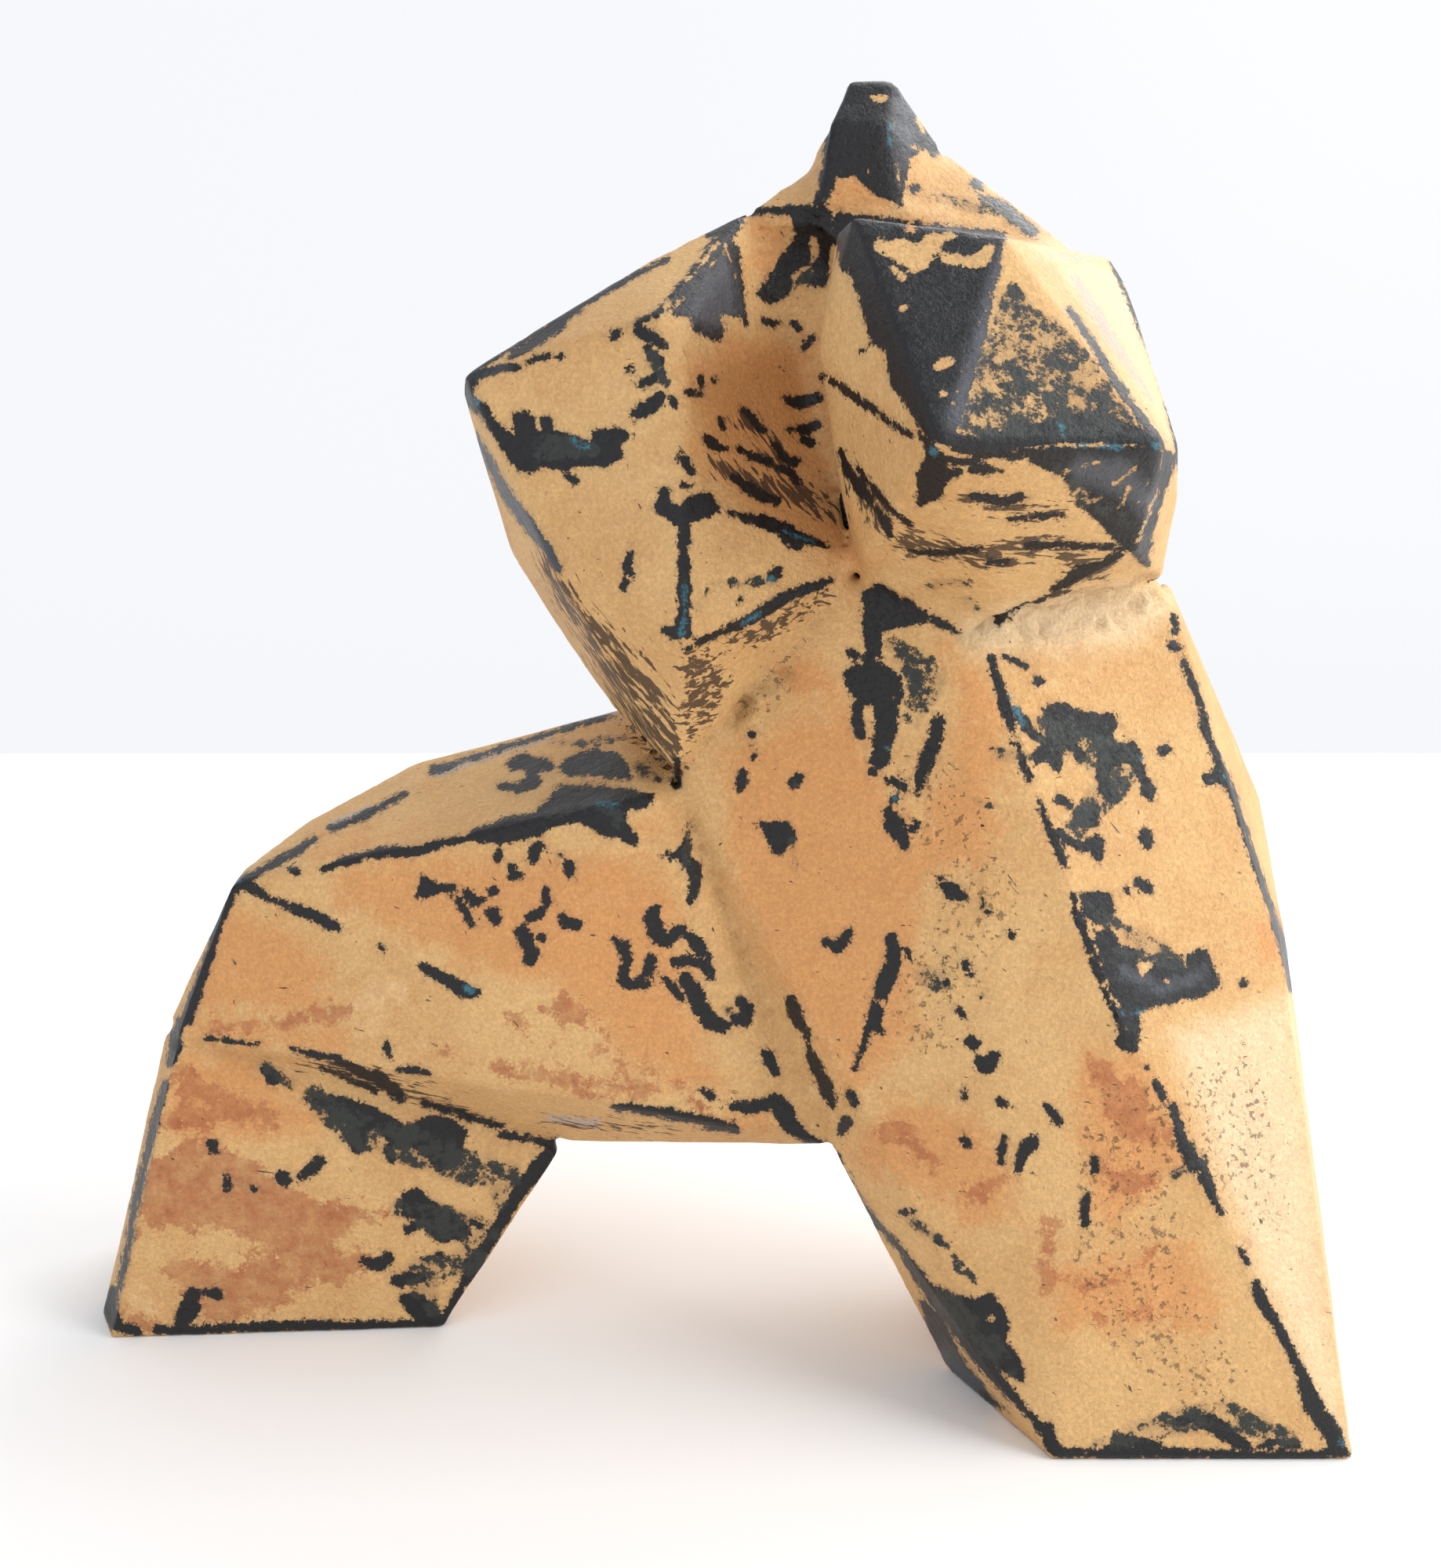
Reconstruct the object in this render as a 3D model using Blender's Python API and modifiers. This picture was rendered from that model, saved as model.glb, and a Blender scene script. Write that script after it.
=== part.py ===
"""Tai chi figure, a small hewn-looking bronze in one casting.

The figure stands in a wide low stance, one foot out to the side and the other stepping forward.
A square shoulder juts to one side, a many-sided forearm comes forward on the other, and a small
narrow head stands between them. Each mass is a block with flat cuts between its corners, and a
smooth hollow is scooped out of the breast between the shoulder and the forearm.

+X is to the viewer's right, -Y is towards the viewer and +Z is up.
"""

from math import radians

import bmesh
import bpy
from mathutils import Vector

# Driving dimensions, in metres.
FIGURE_HEIGHT = 0.297
EDGE_ROUNDING = 0.0015

# Corners are counted in parts of the figure's height, this many to the whole.
PARTS_IN_HEIGHT = 297
PART = FIGURE_HEIGHT / PARTS_IN_HEIGHT

# The edges sharper than this are rounded, in degrees.
SHARP_EDGE = 24

PATINA_COLOUR = (0.72, 0.46, 0.22, 1.0)
PATINA_ROUGHNESS = 0.55
PATINA_METALLIC = 0.1

# The belly and the leg that steps forward are one mass, from the breast down to the foot.
RIGHT_LEG = {
    "foot front inner": (73, -65, 0),
    "foot front outer": (139, -65, 0),
    "foot inner": (54, -28, 0),
    "foot back outer": (149, -16, 0),
    "foot back inner": (96, 12, 0),
    "knee": (86, -50, 97),
    "knee outer": (127, -33, 102),
    "thigh top": (59, -31, 173),
    "thigh top outer": (103, -12, 182),
    "hip top": (109, 18, 184),
    "hip middle": (134, 16, 131),
    "hip low": (141, 8, 95),
    "breast": (30, -22, 189),
    "breast right": (50, -30, 179),
    "belly left": (-11, -14, 143),
    "crotch": (26, -28, 56),
    "seat": (40, 42, 62),
    "seat right": (112, 40, 110),
    "buttock": (62, 60, 134),
    "calf": (104, 32, 50),
    "back right": (100, 46, 174),
    "back left": (-14, 42, 160),
}

LEFT_THIGH = {
    "knee": (-116, -6, 115),
    "knee low": (-131, -10, 77),
    "knee side": (-136, 0, 77),
    "knee back": (-118, 8, 114),
    "ridge near knee": (-93, -8, 119),
    "ridge at hip": (-15, -20, 140),
    "top near knee": (-99, 6, 123),
    "top middle": (-71, 20, 136),
    "top at hip": (-25, 26, 151),
    "far top near knee": (-102, 20, 125),
    "far top middle": (-79, 32, 136),
    "far top at hip": (-26, 44, 148),
    "shin line": (-108, -14, 75),
    "side ridge": (-56, -22, 92),
    "lower edge middle": (-66, -20, 71),
    "lower edge at hip": (-25, -24, 66),
    "crotch": (26, -26, 57),
    "under left": (-38, -5, 48),
    "under right": (26, -5, 47),
    "back knee": (-114, 42, 108),
    "back knee low": (-130, 38, 72),
    "back ridge": (-46, 62, 104),
    "back hip": (36, 52, 138),
    "back seat": (32, 38, 58),
}

LEFT_SHIN = {
    "front top left": (-131, -11, 75),
    "front top right": (-39, -6, 46),
    "front low right": (-69, -10, 0),
    "front low left": (-151, -15, 0),
    "side low": (-157, -4, 0),
    "side top": (-137, 1, 76),
    "knee": (-112, 10, 96),
    "back low left": (-155, 40, 0),
    "back low right": (-84, 48, 0),
    "calf": (-104, 56, 46),
    "back top left": (-131, 39, 72),
    "back top right": (-50, 46, 62),
}

LEFT_SHOULDER = {
    "point": (-56, -10, 230),
    "point top": (-57, -8, 233),
    "point back": (-59, 2, 228),
    "top middle": (-16, 4, 258),
    "top at neck": (1, 8, 265),
    "neck": (6, 12, 269),
    "front top": (-13, -24, 245),
    "front ridge top": (-8, -34, 206),
    "front ridge low": (-8, -38, 178),
    "lower left": (-35, -26, 188),
    "side upper": (-50, 6, 193),
    "side middle": (-40, 6, 176),
    "side low": (-26, 2, 156),
    "tip": (-10, -18, 144),
    "breast": (30, -20, 189),
    "back point": (-50, 34, 220),
    "back ridge": (-14, 56, 216),
    "back top": (4, 46, 258),
    "back low": (-16, 44, 140),
    "back right": (24, 44, 180),
    "back right top": (24, 45, 256),
}

CHEST = {
    "left": (6, 12, 269),
    "right": (20, 6, 269),
    "behind arm": (62, -4, 262),
    "breast": (34, -12, 190),
    "under arm": (64, -18, 184),
    "right top": (89, 8, 258),
    "right middle": (95, 2, 218),
    "right low": (102, 6, 178),
    "right back low": (102, 38, 164),
    "right back": (82, 42, 246),
    "back top": (30, 45, 259),
    "back ridge": (50, 62, 212),
    "back left": (-6, 44, 246),
    "back low": (-6, 46, 140),
}

COLLAR = {
    "front left": (21, 4, 269),
    "front right": (40, 2, 268),
    "left": (6, 12, 269),
    "left rise": (20, 18, 279),
    "right top": (53, 23, 283),
    "right edge": (59, 12, 272),
    "right low edge": (75, 4, 259),
    "right end": (86, 10, 257),
    "back right": (75, 40, 251),
    "back left": (12, 40, 260),
    "back top right": (46, 36, 274),
    "back top left": (28, 36, 276),
}

NECK = {
    "front left": (21, 4, 269),
    "front right": (40, 2, 268),
    "left low": (20, 18, 279),
    "left high": (23, 18, 284),
    "brow left": (24, 7, 286),
    "brow right": (38, 6, 285),
    "back right": (48, 34, 276),
    "back left": (26, 34, 276),
}

HEAD = {
    "chin left": (21, 4, 268),
    "chin right": (40, 2, 267),
    "brow left": (24, 6, 287),
    "brow right": (37, 4, 286),
    "crown left": (29, 14, 297),
    "crown right": (39, 13, 297),
    "right": (51, 21, 284),
    "right low": (52, 16, 276),
    "crown back left": (30, 25, 297),
    "crown back right": (38, 25, 297),
    "nape left": (24, 33, 270),
    "nape right": (50, 33, 270),
}

FOREARM = {
    "front ridge left": (40, -74, 220),
    "front ridge right": (84, -66, 219),
    "top left": (26, -42, 263),
    "top right": (56, -46, 259),
    "top edge": (76, -34, 243),
    "right top": (70, -27, 256),
    "right back": (86, -4, 258),
    "right side top": (89, -6, 253),
    "right side": (95, -38, 218),
    "right side low": (97, -32, 206),
    "lower right": (85, -48, 197),
    "lower left": (30, -34, 195),
    "left side": (20, -30, 238),
    "left top": (24, -26, 262),
    "left low": (23, -28, 219),
    "under right": (97, -22, 188),
    "under": (60, -34, 180),
    "breast": (30, -20, 188),
    "inside": (60, 20, 200),
    "inside left": (27, 6, 224),
    "inside top": (42, 10, 258),
}

# The rough roll of metal where the forearm rests on the hip.
HIP_ROLL = {
    "breast": (31, -24, 188),
    "breast top": (31, -30, 193),
    "breast right": (50, -31, 179),
    "under arm": (61, -32, 180),
    "under arm right": (90, -22, 193),
    "side": (101, -10, 186),
    "thigh top": (59, -31, 173),
    "thigh top outer": (103, -12, 181),
    "inside": (60, 10, 192),
    "inside right": (98, 10, 190),
    "inside low": (70, 0, 165),
}

# The hollow in the breast, cut away before the forearm is put on.
BREAST_HOLLOW = {
    "top left": (7, 10, 266),
    "top right": (22, 5, 265),
    "under collar left": (14, 9, 258),
    "under collar right": (23, 11, 258),
    "small cut": (3, -5, 246),
    "shoulder edge top": (-10, -25, 244),
    "shoulder edge low": (-5, -34, 206),
    "floor left high": (-3, -16, 237),
    "floor left": (4, -12, 229),
    "floor middle": (17, 9, 237),
    "floor low": (22, 0, 218),
    "floor low left": (11, -19, 209),
    "floor near star": (25, -11, 203),
    "star": (29, -23, 190),
    "behind arm": (34, 0, 254),
    "behind arm low": (36, -16, 200),
    "front top left": (7, -70, 266),
    "front top right": (34, -70, 262),
    "front left": (-10, -70, 244),
    "front low left": (-5, -70, 206),
    "front low": (29, -70, 190),
    "front low right": (36, -70, 200),
}


def stance_middle():
    """The middle of the figure's extent in X and Y, in parts."""
    corners = [corner for block in (RIGHT_LEG, LEFT_THIGH, LEFT_SHIN, FOREARM) for corner in block.values()]
    spans = [(min(c[axis] for c in corners), max(c[axis] for c in corners)) for axis in (0, 1)]
    return Vector(((spans[0][0] + spans[0][1]) / 2, (spans[1][0] + spans[1][1]) / 2, 0.0))


def placed(corner):
    """A corner's place in metres, measured from under the middle of the figure."""
    return (Vector(corner) - stance_middle()) * PART


def object_from(shape, name, collection):
    bmesh.ops.recalc_face_normals(shape, faces=shape.faces)
    mesh = bpy.data.meshes.new(name)
    shape.to_mesh(mesh)
    shape.free()
    made = bpy.data.objects.new(name, mesh)
    collection.objects.link(made)
    return made


def round_edges(block):
    rounding = block.modifiers.new("rounded edges", "BEVEL")
    rounding.width = EDGE_ROUNDING
    rounding.segments = 2
    rounding.limit_method = "ANGLE"
    rounding.angle_limit = radians(SHARP_EDGE)


def hewn_block(name, corners, collection):
    """A solid with flat cuts between its corners."""
    shape = bmesh.new()
    for corner in corners.values():
        shape.verts.new(placed(corner))
    hull = bmesh.ops.convex_hull(shape, input=shape.verts)
    inside = {item for item in hull["geom_interior"] + hull["geom_unused"] if isinstance(item, bmesh.types.BMVert)}
    bmesh.ops.delete(shape, geom=list(inside), context="VERTS")
    return object_from(shape, name, collection)


def join(figure, other, operation):
    """One live Boolean on the figure, with the other shape shown only as wire."""
    other.hide_render = True
    other.display_type = "WIRE"
    step = figure.modifiers.new(other.name, "BOOLEAN")
    step.operation = operation
    step.solver = "EXACT"
    step.object = other


def join_block(figure, name, corners, collection):
    block = hewn_block(name, corners, collection)
    round_edges(block)
    join(figure, block, "UNION")


def patina():
    material = bpy.data.materials.new("patinated_bronze")
    material.use_nodes = True
    surface = material.node_tree.nodes["Principled BSDF"]
    surface.inputs["Base Color"].default_value = PATINA_COLOUR
    surface.inputs["Roughness"].default_value = PATINA_ROUGHNESS
    surface.inputs["Metallic"].default_value = PATINA_METALLIC
    return material


def new_collection(name):
    collection = bpy.data.collections.new(name)
    bpy.context.scene.collection.children.link(collection)
    return collection


def main():
    for old in list(bpy.data.objects):
        bpy.data.objects.remove(old)
    figure_parts = new_collection("tai_chi_figure")
    cutters = new_collection("cutters")
    figure = hewn_block("tai_chi_figure", RIGHT_LEG, figure_parts)
    figure.data.materials.append(patina())
    round_edges(figure)
    blocks = {
        "chest": CHEST,
        "left_shoulder": LEFT_SHOULDER,
        "left_thigh": LEFT_THIGH,
        "left_shin": LEFT_SHIN,
        "collar": COLLAR,
        "neck": NECK,
        "head": HEAD,
    }
    for name, corners in blocks.items():
        join_block(figure, name, corners, cutters)
    join(figure, hewn_block("breast_hollow", BREAST_HOLLOW, cutters), "DIFFERENCE")
    join_block(figure, "forearm", FOREARM, cutters)
    join_block(figure, "hip_roll", HIP_ROLL, cutters)



main()
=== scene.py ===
import math

import bmesh
import bpy
import numpy as np
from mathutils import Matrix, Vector
from mathutils.bvhtree import BVHTree


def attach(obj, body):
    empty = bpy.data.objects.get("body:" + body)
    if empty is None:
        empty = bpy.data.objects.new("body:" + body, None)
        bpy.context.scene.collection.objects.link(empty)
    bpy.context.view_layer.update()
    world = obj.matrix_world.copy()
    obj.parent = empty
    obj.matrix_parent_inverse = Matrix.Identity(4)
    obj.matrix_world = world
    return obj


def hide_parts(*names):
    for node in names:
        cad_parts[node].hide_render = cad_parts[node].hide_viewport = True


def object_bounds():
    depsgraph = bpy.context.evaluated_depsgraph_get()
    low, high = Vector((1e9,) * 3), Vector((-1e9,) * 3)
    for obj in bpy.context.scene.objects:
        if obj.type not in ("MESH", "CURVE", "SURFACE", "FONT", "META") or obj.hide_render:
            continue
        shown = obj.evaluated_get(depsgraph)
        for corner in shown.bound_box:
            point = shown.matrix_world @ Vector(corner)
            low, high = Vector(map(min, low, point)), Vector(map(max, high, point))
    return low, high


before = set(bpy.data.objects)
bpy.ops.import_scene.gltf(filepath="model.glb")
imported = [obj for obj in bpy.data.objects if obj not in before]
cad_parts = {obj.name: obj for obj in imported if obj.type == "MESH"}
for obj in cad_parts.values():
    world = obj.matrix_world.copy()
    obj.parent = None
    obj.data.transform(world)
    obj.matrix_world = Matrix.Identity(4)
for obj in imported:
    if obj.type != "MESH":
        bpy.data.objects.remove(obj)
bpy.context.view_layer.update()
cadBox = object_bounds()
print("frame loaded", [round(v, 4) for v in (*cadBox[0], *cadBox[1])])

# the camera stands a little above the figure and looks down on it, as in the photograph
photoCamera = {
    "widthPx": 1838,
    "heightPx": 2000,
    "focalPx": 2200.0,
    "place": (0.004, -0.394, 0.230),
    "lookDown": math.radians(13.0),
    "sensorHeight": 24.0,
    "nearest": 0.01,
}


def setCamera(settings):
    data = bpy.data.cameras.new("photoCamera")
    data.sensor_fit = "VERTICAL"
    data.sensor_height = settings["sensorHeight"]
    data.sensor_width = settings["sensorHeight"] * settings["widthPx"] / settings["heightPx"]
    data.lens = settings["focalPx"] / settings["heightPx"] * settings["sensorHeight"]
    data.clip_start = settings["nearest"]
    camera = bpy.data.objects.new("photoCamera", data)
    camera.location = settings["place"]
    camera.rotation_euler = (math.pi / 2 - settings["lookDown"], 0.0, 0.0)
    bpy.context.scene.collection.objects.link(camera)
    bpy.context.scene.camera = camera


def photoPixels(points):
    # where each point of the figure falls in the photograph
    settings = photoCamera
    away = points - np.array(settings["place"])
    cosDown, sinDown = math.cos(settings["lookDown"]), math.sin(settings["lookDown"])
    depth = away[:, 1] * cosDown - away[:, 2] * sinDown
    rise = away[:, 1] * sinDown + away[:, 2] * cosDown
    across = settings["widthPx"] / 2 + settings["focalPx"] * away[:, 0] / depth
    down = settings["heightPx"] / 2 - settings["focalPx"] * rise / depth
    return np.stack([across, down], axis=1)


setCamera(photoCamera)

# Wear and painted light and shade read off the photograph, in its own pixels.
# Three numbers are a brush stroke (across, down, half width), two are the corners of a patch.
shoulderWearAndShadow = {
    "rimCorner": [(594, 512, 5), (592, 490, 8), (600, 479, 8), (616, 474, 5), (640, 468, 4), (658, 467, 3)],
    "rimLine": [(602, 515, 7), (615, 524, 7), (628, 545, 5), (640, 560, 6), (652, 580, 7), (668, 600, 4)],
    "bigPatch": [(640, 545), (655, 556), (655, 528), (672, 522), (680, 535), (684, 556), (690, 552),
                 (688, 532), (700, 530), (706, 552), (735, 556), (752, 566), (758, 550), (790, 544),
                 (806, 556), (788, 566), (794, 580), (775, 592), (745, 592), (722, 600), (690, 596),
                 (668, 603), (655, 590), (648, 565)],
    "topEdgeUpper": [(745, 384, 3), (722, 398, 6), (706, 414, 8), (692, 424, 7), (672, 440, 5),
                     (650, 450, 3)],
    "topEdgeLine": [(600, 472, 2.5), (650, 442, 2.5), (705, 408, 3), (750, 382, 3), (800, 352, 2.5),
                    (850, 328, 1.5)],
    "belowTopEdge": [(672, 461, 2.5), (684, 457, 4), (700, 453, 4)],
    "belowTopSpot": [(712, 454, 4)],
    "ridgeSpot": [(782, 428, 5), (788, 424, 4)],
    "columnTop": [(826, 403, 3), (815, 408, 4), (812, 420, 4), (826, 428, 7), (838, 434, 5), (850, 441, 3)],
    "columnSecond": [(824, 443, 3), (830, 453, 4), (842, 458, 4)],
    "columnThird": [(816, 490, 5), (830, 484, 6), (843, 474, 4)],
    "columnFourth": [(810, 528, 5), (822, 521, 8), (836, 511, 8), (846, 499, 3)],
    "columnFleck": [(800, 469, 3), (806, 467, 2)],
    "patchFleck": [(722, 606, 3), (732, 614, 4)],
    "cheekUpper": [(803, 705, 3), (799, 725, 4), (805, 733, 3)],
    "cheekLower": [(797, 740, 4), (794, 750, 3)],
    "collarBand": [(836, 399, 4), (852, 385, 6), (868, 370, 8), (890, 346, 9), (910, 318, 9), (926, 297, 8),
                   (940, 280, 8)],
    "collarPoint": [(905, 295, 6), (930, 282, 9), (948, 268, 4)],
    "edgeStrip": [(604, 556, 2), (620, 586, 4), (637, 620, 5), (658, 652, 7), (682, 684, 6), (701, 706, 5),
                  (712, 730, 2)],
    "greyTriangle": [(860, 400), (880, 372), (900, 345), (925, 325), (938, 335), (944, 370), (948, 405),
                     (935, 402), (920, 400), (926, 420), (918, 434), (900, 426), (888, 420), (885, 402)],
    "triangleEdge": [(930, 300, 5), (940, 330, 4), (946, 360, 3), (950, 400, 3), (954, 412, 2)],
    "collarLine": [(950, 268, 3), (985, 268, 4), (1030, 267, 5)],
    # painted shadow: black laid where the neck lies in shade
    "neckShadow": [(1010, 272), (1048, 262), (1060, 272), (1055, 330), (1050, 362), (1028, 362),
                   (1040, 345), (1020, 338), (1008, 352), (1010, 372), (985, 386), (968, 374), (985, 350),
                   (1002, 322), (1014, 300)],
    "hollowTopLeft": [(975, 408, 3), (990, 412, 4)],
    "hollowTopRight": [(1012, 412, 4), (1018, 420, 3)],
    "hollowTopFleck": [(1026, 440, 4), (1035, 432, 4)],
}
hollowWear = {
    "slashOne": [(903, 558, 3), (912, 566, 6), (926, 572, 3)],
    "slashTwo": [(948, 520, 2), (960, 532, 3), (975, 548, 4)],
    "slashThree": [(946, 571, 2), (960, 580, 5), (984, 590, 3)],
    "slashFour": [(988, 566, 2), (1000, 580, 5), (1014, 588, 6)],
    "slashFive": [(990, 595, 3), (1006, 600, 5), (1020, 614, 3)],
    "slashSix": [(936, 606, 2), (952, 618, 6), (972, 630, 7), (992, 638, 4)],
    "slashSeven": [(1004, 508, 3), (1022, 514, 7), (1044, 505, 4)],
    "slashEight": [(1008, 546, 2), (1026, 548, 5), (1042, 540, 3)],
    "slashNine": [(1026, 560, 3), (1036, 564, 3)],
    "fleckLeft": [(894, 482, 3), (898, 490, 2)],
    "fleckMiddle": [(912, 484, 3)],
    "fleckLow": [(860, 510, 4), (862, 516, 3)],
    "fleckFlat": [(876, 499, 1.5), (896, 502, 2.5)],
    "fleckInner": [(920, 534, 2), (925, 546, 2.5)],
    "wedge": [(932, 653, 2), (955, 660, 5), (975, 664, 8), (1000, 674, 9), (1022, 684, 7), (1042, 691, 4),
              (1056, 695, 2)],
    "wedgeUnder": [(1000, 688, 3), (1018, 696, 4)],
}
starWear = {
    "notchTop": [(868, 580, 4), (876, 590, 6), (884, 603, 3)],
    "notchFleck": [(873, 617, 4), (884, 620, 2)],
    "blobLeft": [(846, 630, 7), (845, 648, 8), (858, 655, 9), (866, 668, 5)],
    "blobRight": [(872, 652, 6), (886, 640, 9), (903, 638, 9), (918, 650, 3)],
    "blobMiddle": [(880, 655, 9), (900, 652, 8)],
    "bar": [(874, 660, 7), (872, 688, 8), (871, 698, 5), (873, 720, 8), (873, 750, 8), (873, 780, 7),
            (872, 800, 8)],
    "barFoot": [(848, 804, 4), (858, 808, 8), (872, 812, 10)],
    "keel": [(878, 828, 4), (892, 820, 4), (910, 812, 4), (928, 805, 4), (945, 797, 5), (962, 788, 4),
             (980, 777, 7), (1000, 765, 7), (1020, 755, 6), (1045, 746, 5), (1062, 739, 2)],
    "bruise": [(984, 738, 5), (992, 728, 6)],
    "middleFleck": [(945, 765, 3)],
    "tongueTip": [(863, 972, 3), (862, 990, 4), (863, 1000, 3)],
}
headWear = {
    "face": [(1083, 98), (1143, 98), (1147, 130), (1141, 160), (1141, 200), (1146, 230), (1152, 262),
             (1122, 250), (1105, 236), (1092, 222), (1065, 224), (1058, 242), (1052, 262), (1038, 264),
             (1050, 200), (1052, 150), (1065, 120)],
    "side": [(1146, 104), (1158, 112), (1178, 152), (1204, 188), (1196, 198), (1178, 188), (1162, 200),
             (1156, 226), (1148, 262), (1142, 200)],
    "sideSpot": [(1168, 240, 5)],
    "slopeFleck": [(1244, 232, 4), (1250, 238, 4)],
    "slopeLine": [(1254, 250, 4), (1280, 262, 5), (1300, 278, 6), (1318, 294, 7)],
}
ballWear = {
    "topFacet": [(1066, 272), (1284, 294), (1262, 370), (1240, 440), (1215, 512), (1201, 566), (1180, 556),
                 (1160, 526), (1140, 500), (1130, 474), (1130, 448), (1112, 436), (1100, 412), (1098, 388),
                 (1088, 366), (1080, 338), (1068, 320), (1060, 300)],
    "leftFleckTop": [(1070, 330, 3), (1076, 342, 3)],
    "leftFleckLow": [(1098, 448, 3)],
    "leftLine": [(1058, 486, 2), (1080, 501, 4), (1102, 516, 4), (1128, 536, 3), (1152, 552, 2.5),
                 (1176, 560, 2.5)],
    "leftCorner": [(1048, 480, 2.5)],
    "lowerBand": [(1208, 562, 5), (1240, 566, 9), (1280, 562, 12), (1320, 556, 14), (1350, 548, 16),
                  (1385, 552, 14), (1420, 548, 15), (1455, 556, 11), (1480, 565, 6)],
    "slateBand": [(1276, 322, 3), (1264, 370, 4), (1252, 425, 5), (1236, 480, 6), (1218, 535, 7),
                  (1208, 556, 7)],
    "cornerMass": [(1352, 528, 6), (1390, 534, 7), (1440, 544, 4)],
    "rightLine": [(1365, 393, 2), (1392, 430, 3), (1420, 476, 4), (1450, 520, 4), (1478, 560, 5)],
    "underRidge": [(1300, 574), (1484, 570), (1480, 615), (1466, 670), (1452, 700), (1430, 692),
                   (1416, 664), (1402, 668), (1393, 652), (1410, 634), (1392, 640), (1386, 622),
                   (1362, 618), (1342, 602), (1318, 592)],
    "underRidgeLeft": [(1218, 572, 4), (1245, 576, 6), (1275, 580, 5), (1300, 584, 5)],
    "stub": [(1178, 556), (1202, 578), (1208, 600), (1200, 634), (1186, 640), (1172, 648), (1168, 628),
             (1171, 604), (1178, 588)],
    "stubCurl": [(1206, 584, 4), (1224, 592, 4), (1246, 590, 4)],
    "stubCurlLow": [(1204, 612, 4), (1222, 602, 5)],
    "smallCurl": [(1240, 602, 3), (1262, 600, 5), (1278, 604, 3)],
    "longStreak": [(1238, 634, 2.5), (1256, 637, 6), (1282, 642, 5), (1306, 636, 3)],
    "fineStreak": [(1288, 664, 2), (1320, 661, 3), (1356, 660, 1.5)],
    "lowStreakLeft": [(1160, 706, 2), (1200, 706, 3), (1256, 703, 2)],
    "lowStreakRight": [(1308, 698, 2.5), (1342, 696, 4), (1382, 698, 2.5), (1434, 702, 2)],
    "chin": [(1392, 650, 4), (1410, 666, 6), (1430, 686, 7), (1450, 704, 6), (1464, 720, 4)],
    "chinLeft": [(1345, 753, 5), (1360, 746, 6), (1378, 734, 8), (1400, 727, 7), (1430, 710, 4)],
    "underLine": [(1274, 796, 4), (1292, 785, 4), (1312, 775, 3), (1336, 765, 2.5), (1362, 756, 3)],
    "underFleck": [(1258, 720, 2.5), (1288, 718, 2.5)],
    "rightFacet": [(1486, 574), (1502, 578), (1496, 604), (1484, 640), (1474, 672), (1466, 716),
                   (1452, 702), (1464, 676), (1480, 622)],
    "leftUnderOne": [(1070, 576, 3), (1080, 602, 5), (1094, 622, 6), (1108, 640, 5)],
    "leftUnderTwo": [(1118, 652, 4), (1128, 672, 6), (1134, 684, 3)],
    "leftUnderHair": [(1092, 598, 2), (1114, 630, 3), (1140, 656, 2.5), (1162, 673, 1.5)],
    "edgeFarRight": [(1420, 330, 2), (1450, 400, 2), (1480, 470, 2), (1504, 560, 2.5), (1508, 600, 2)],
}
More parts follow.
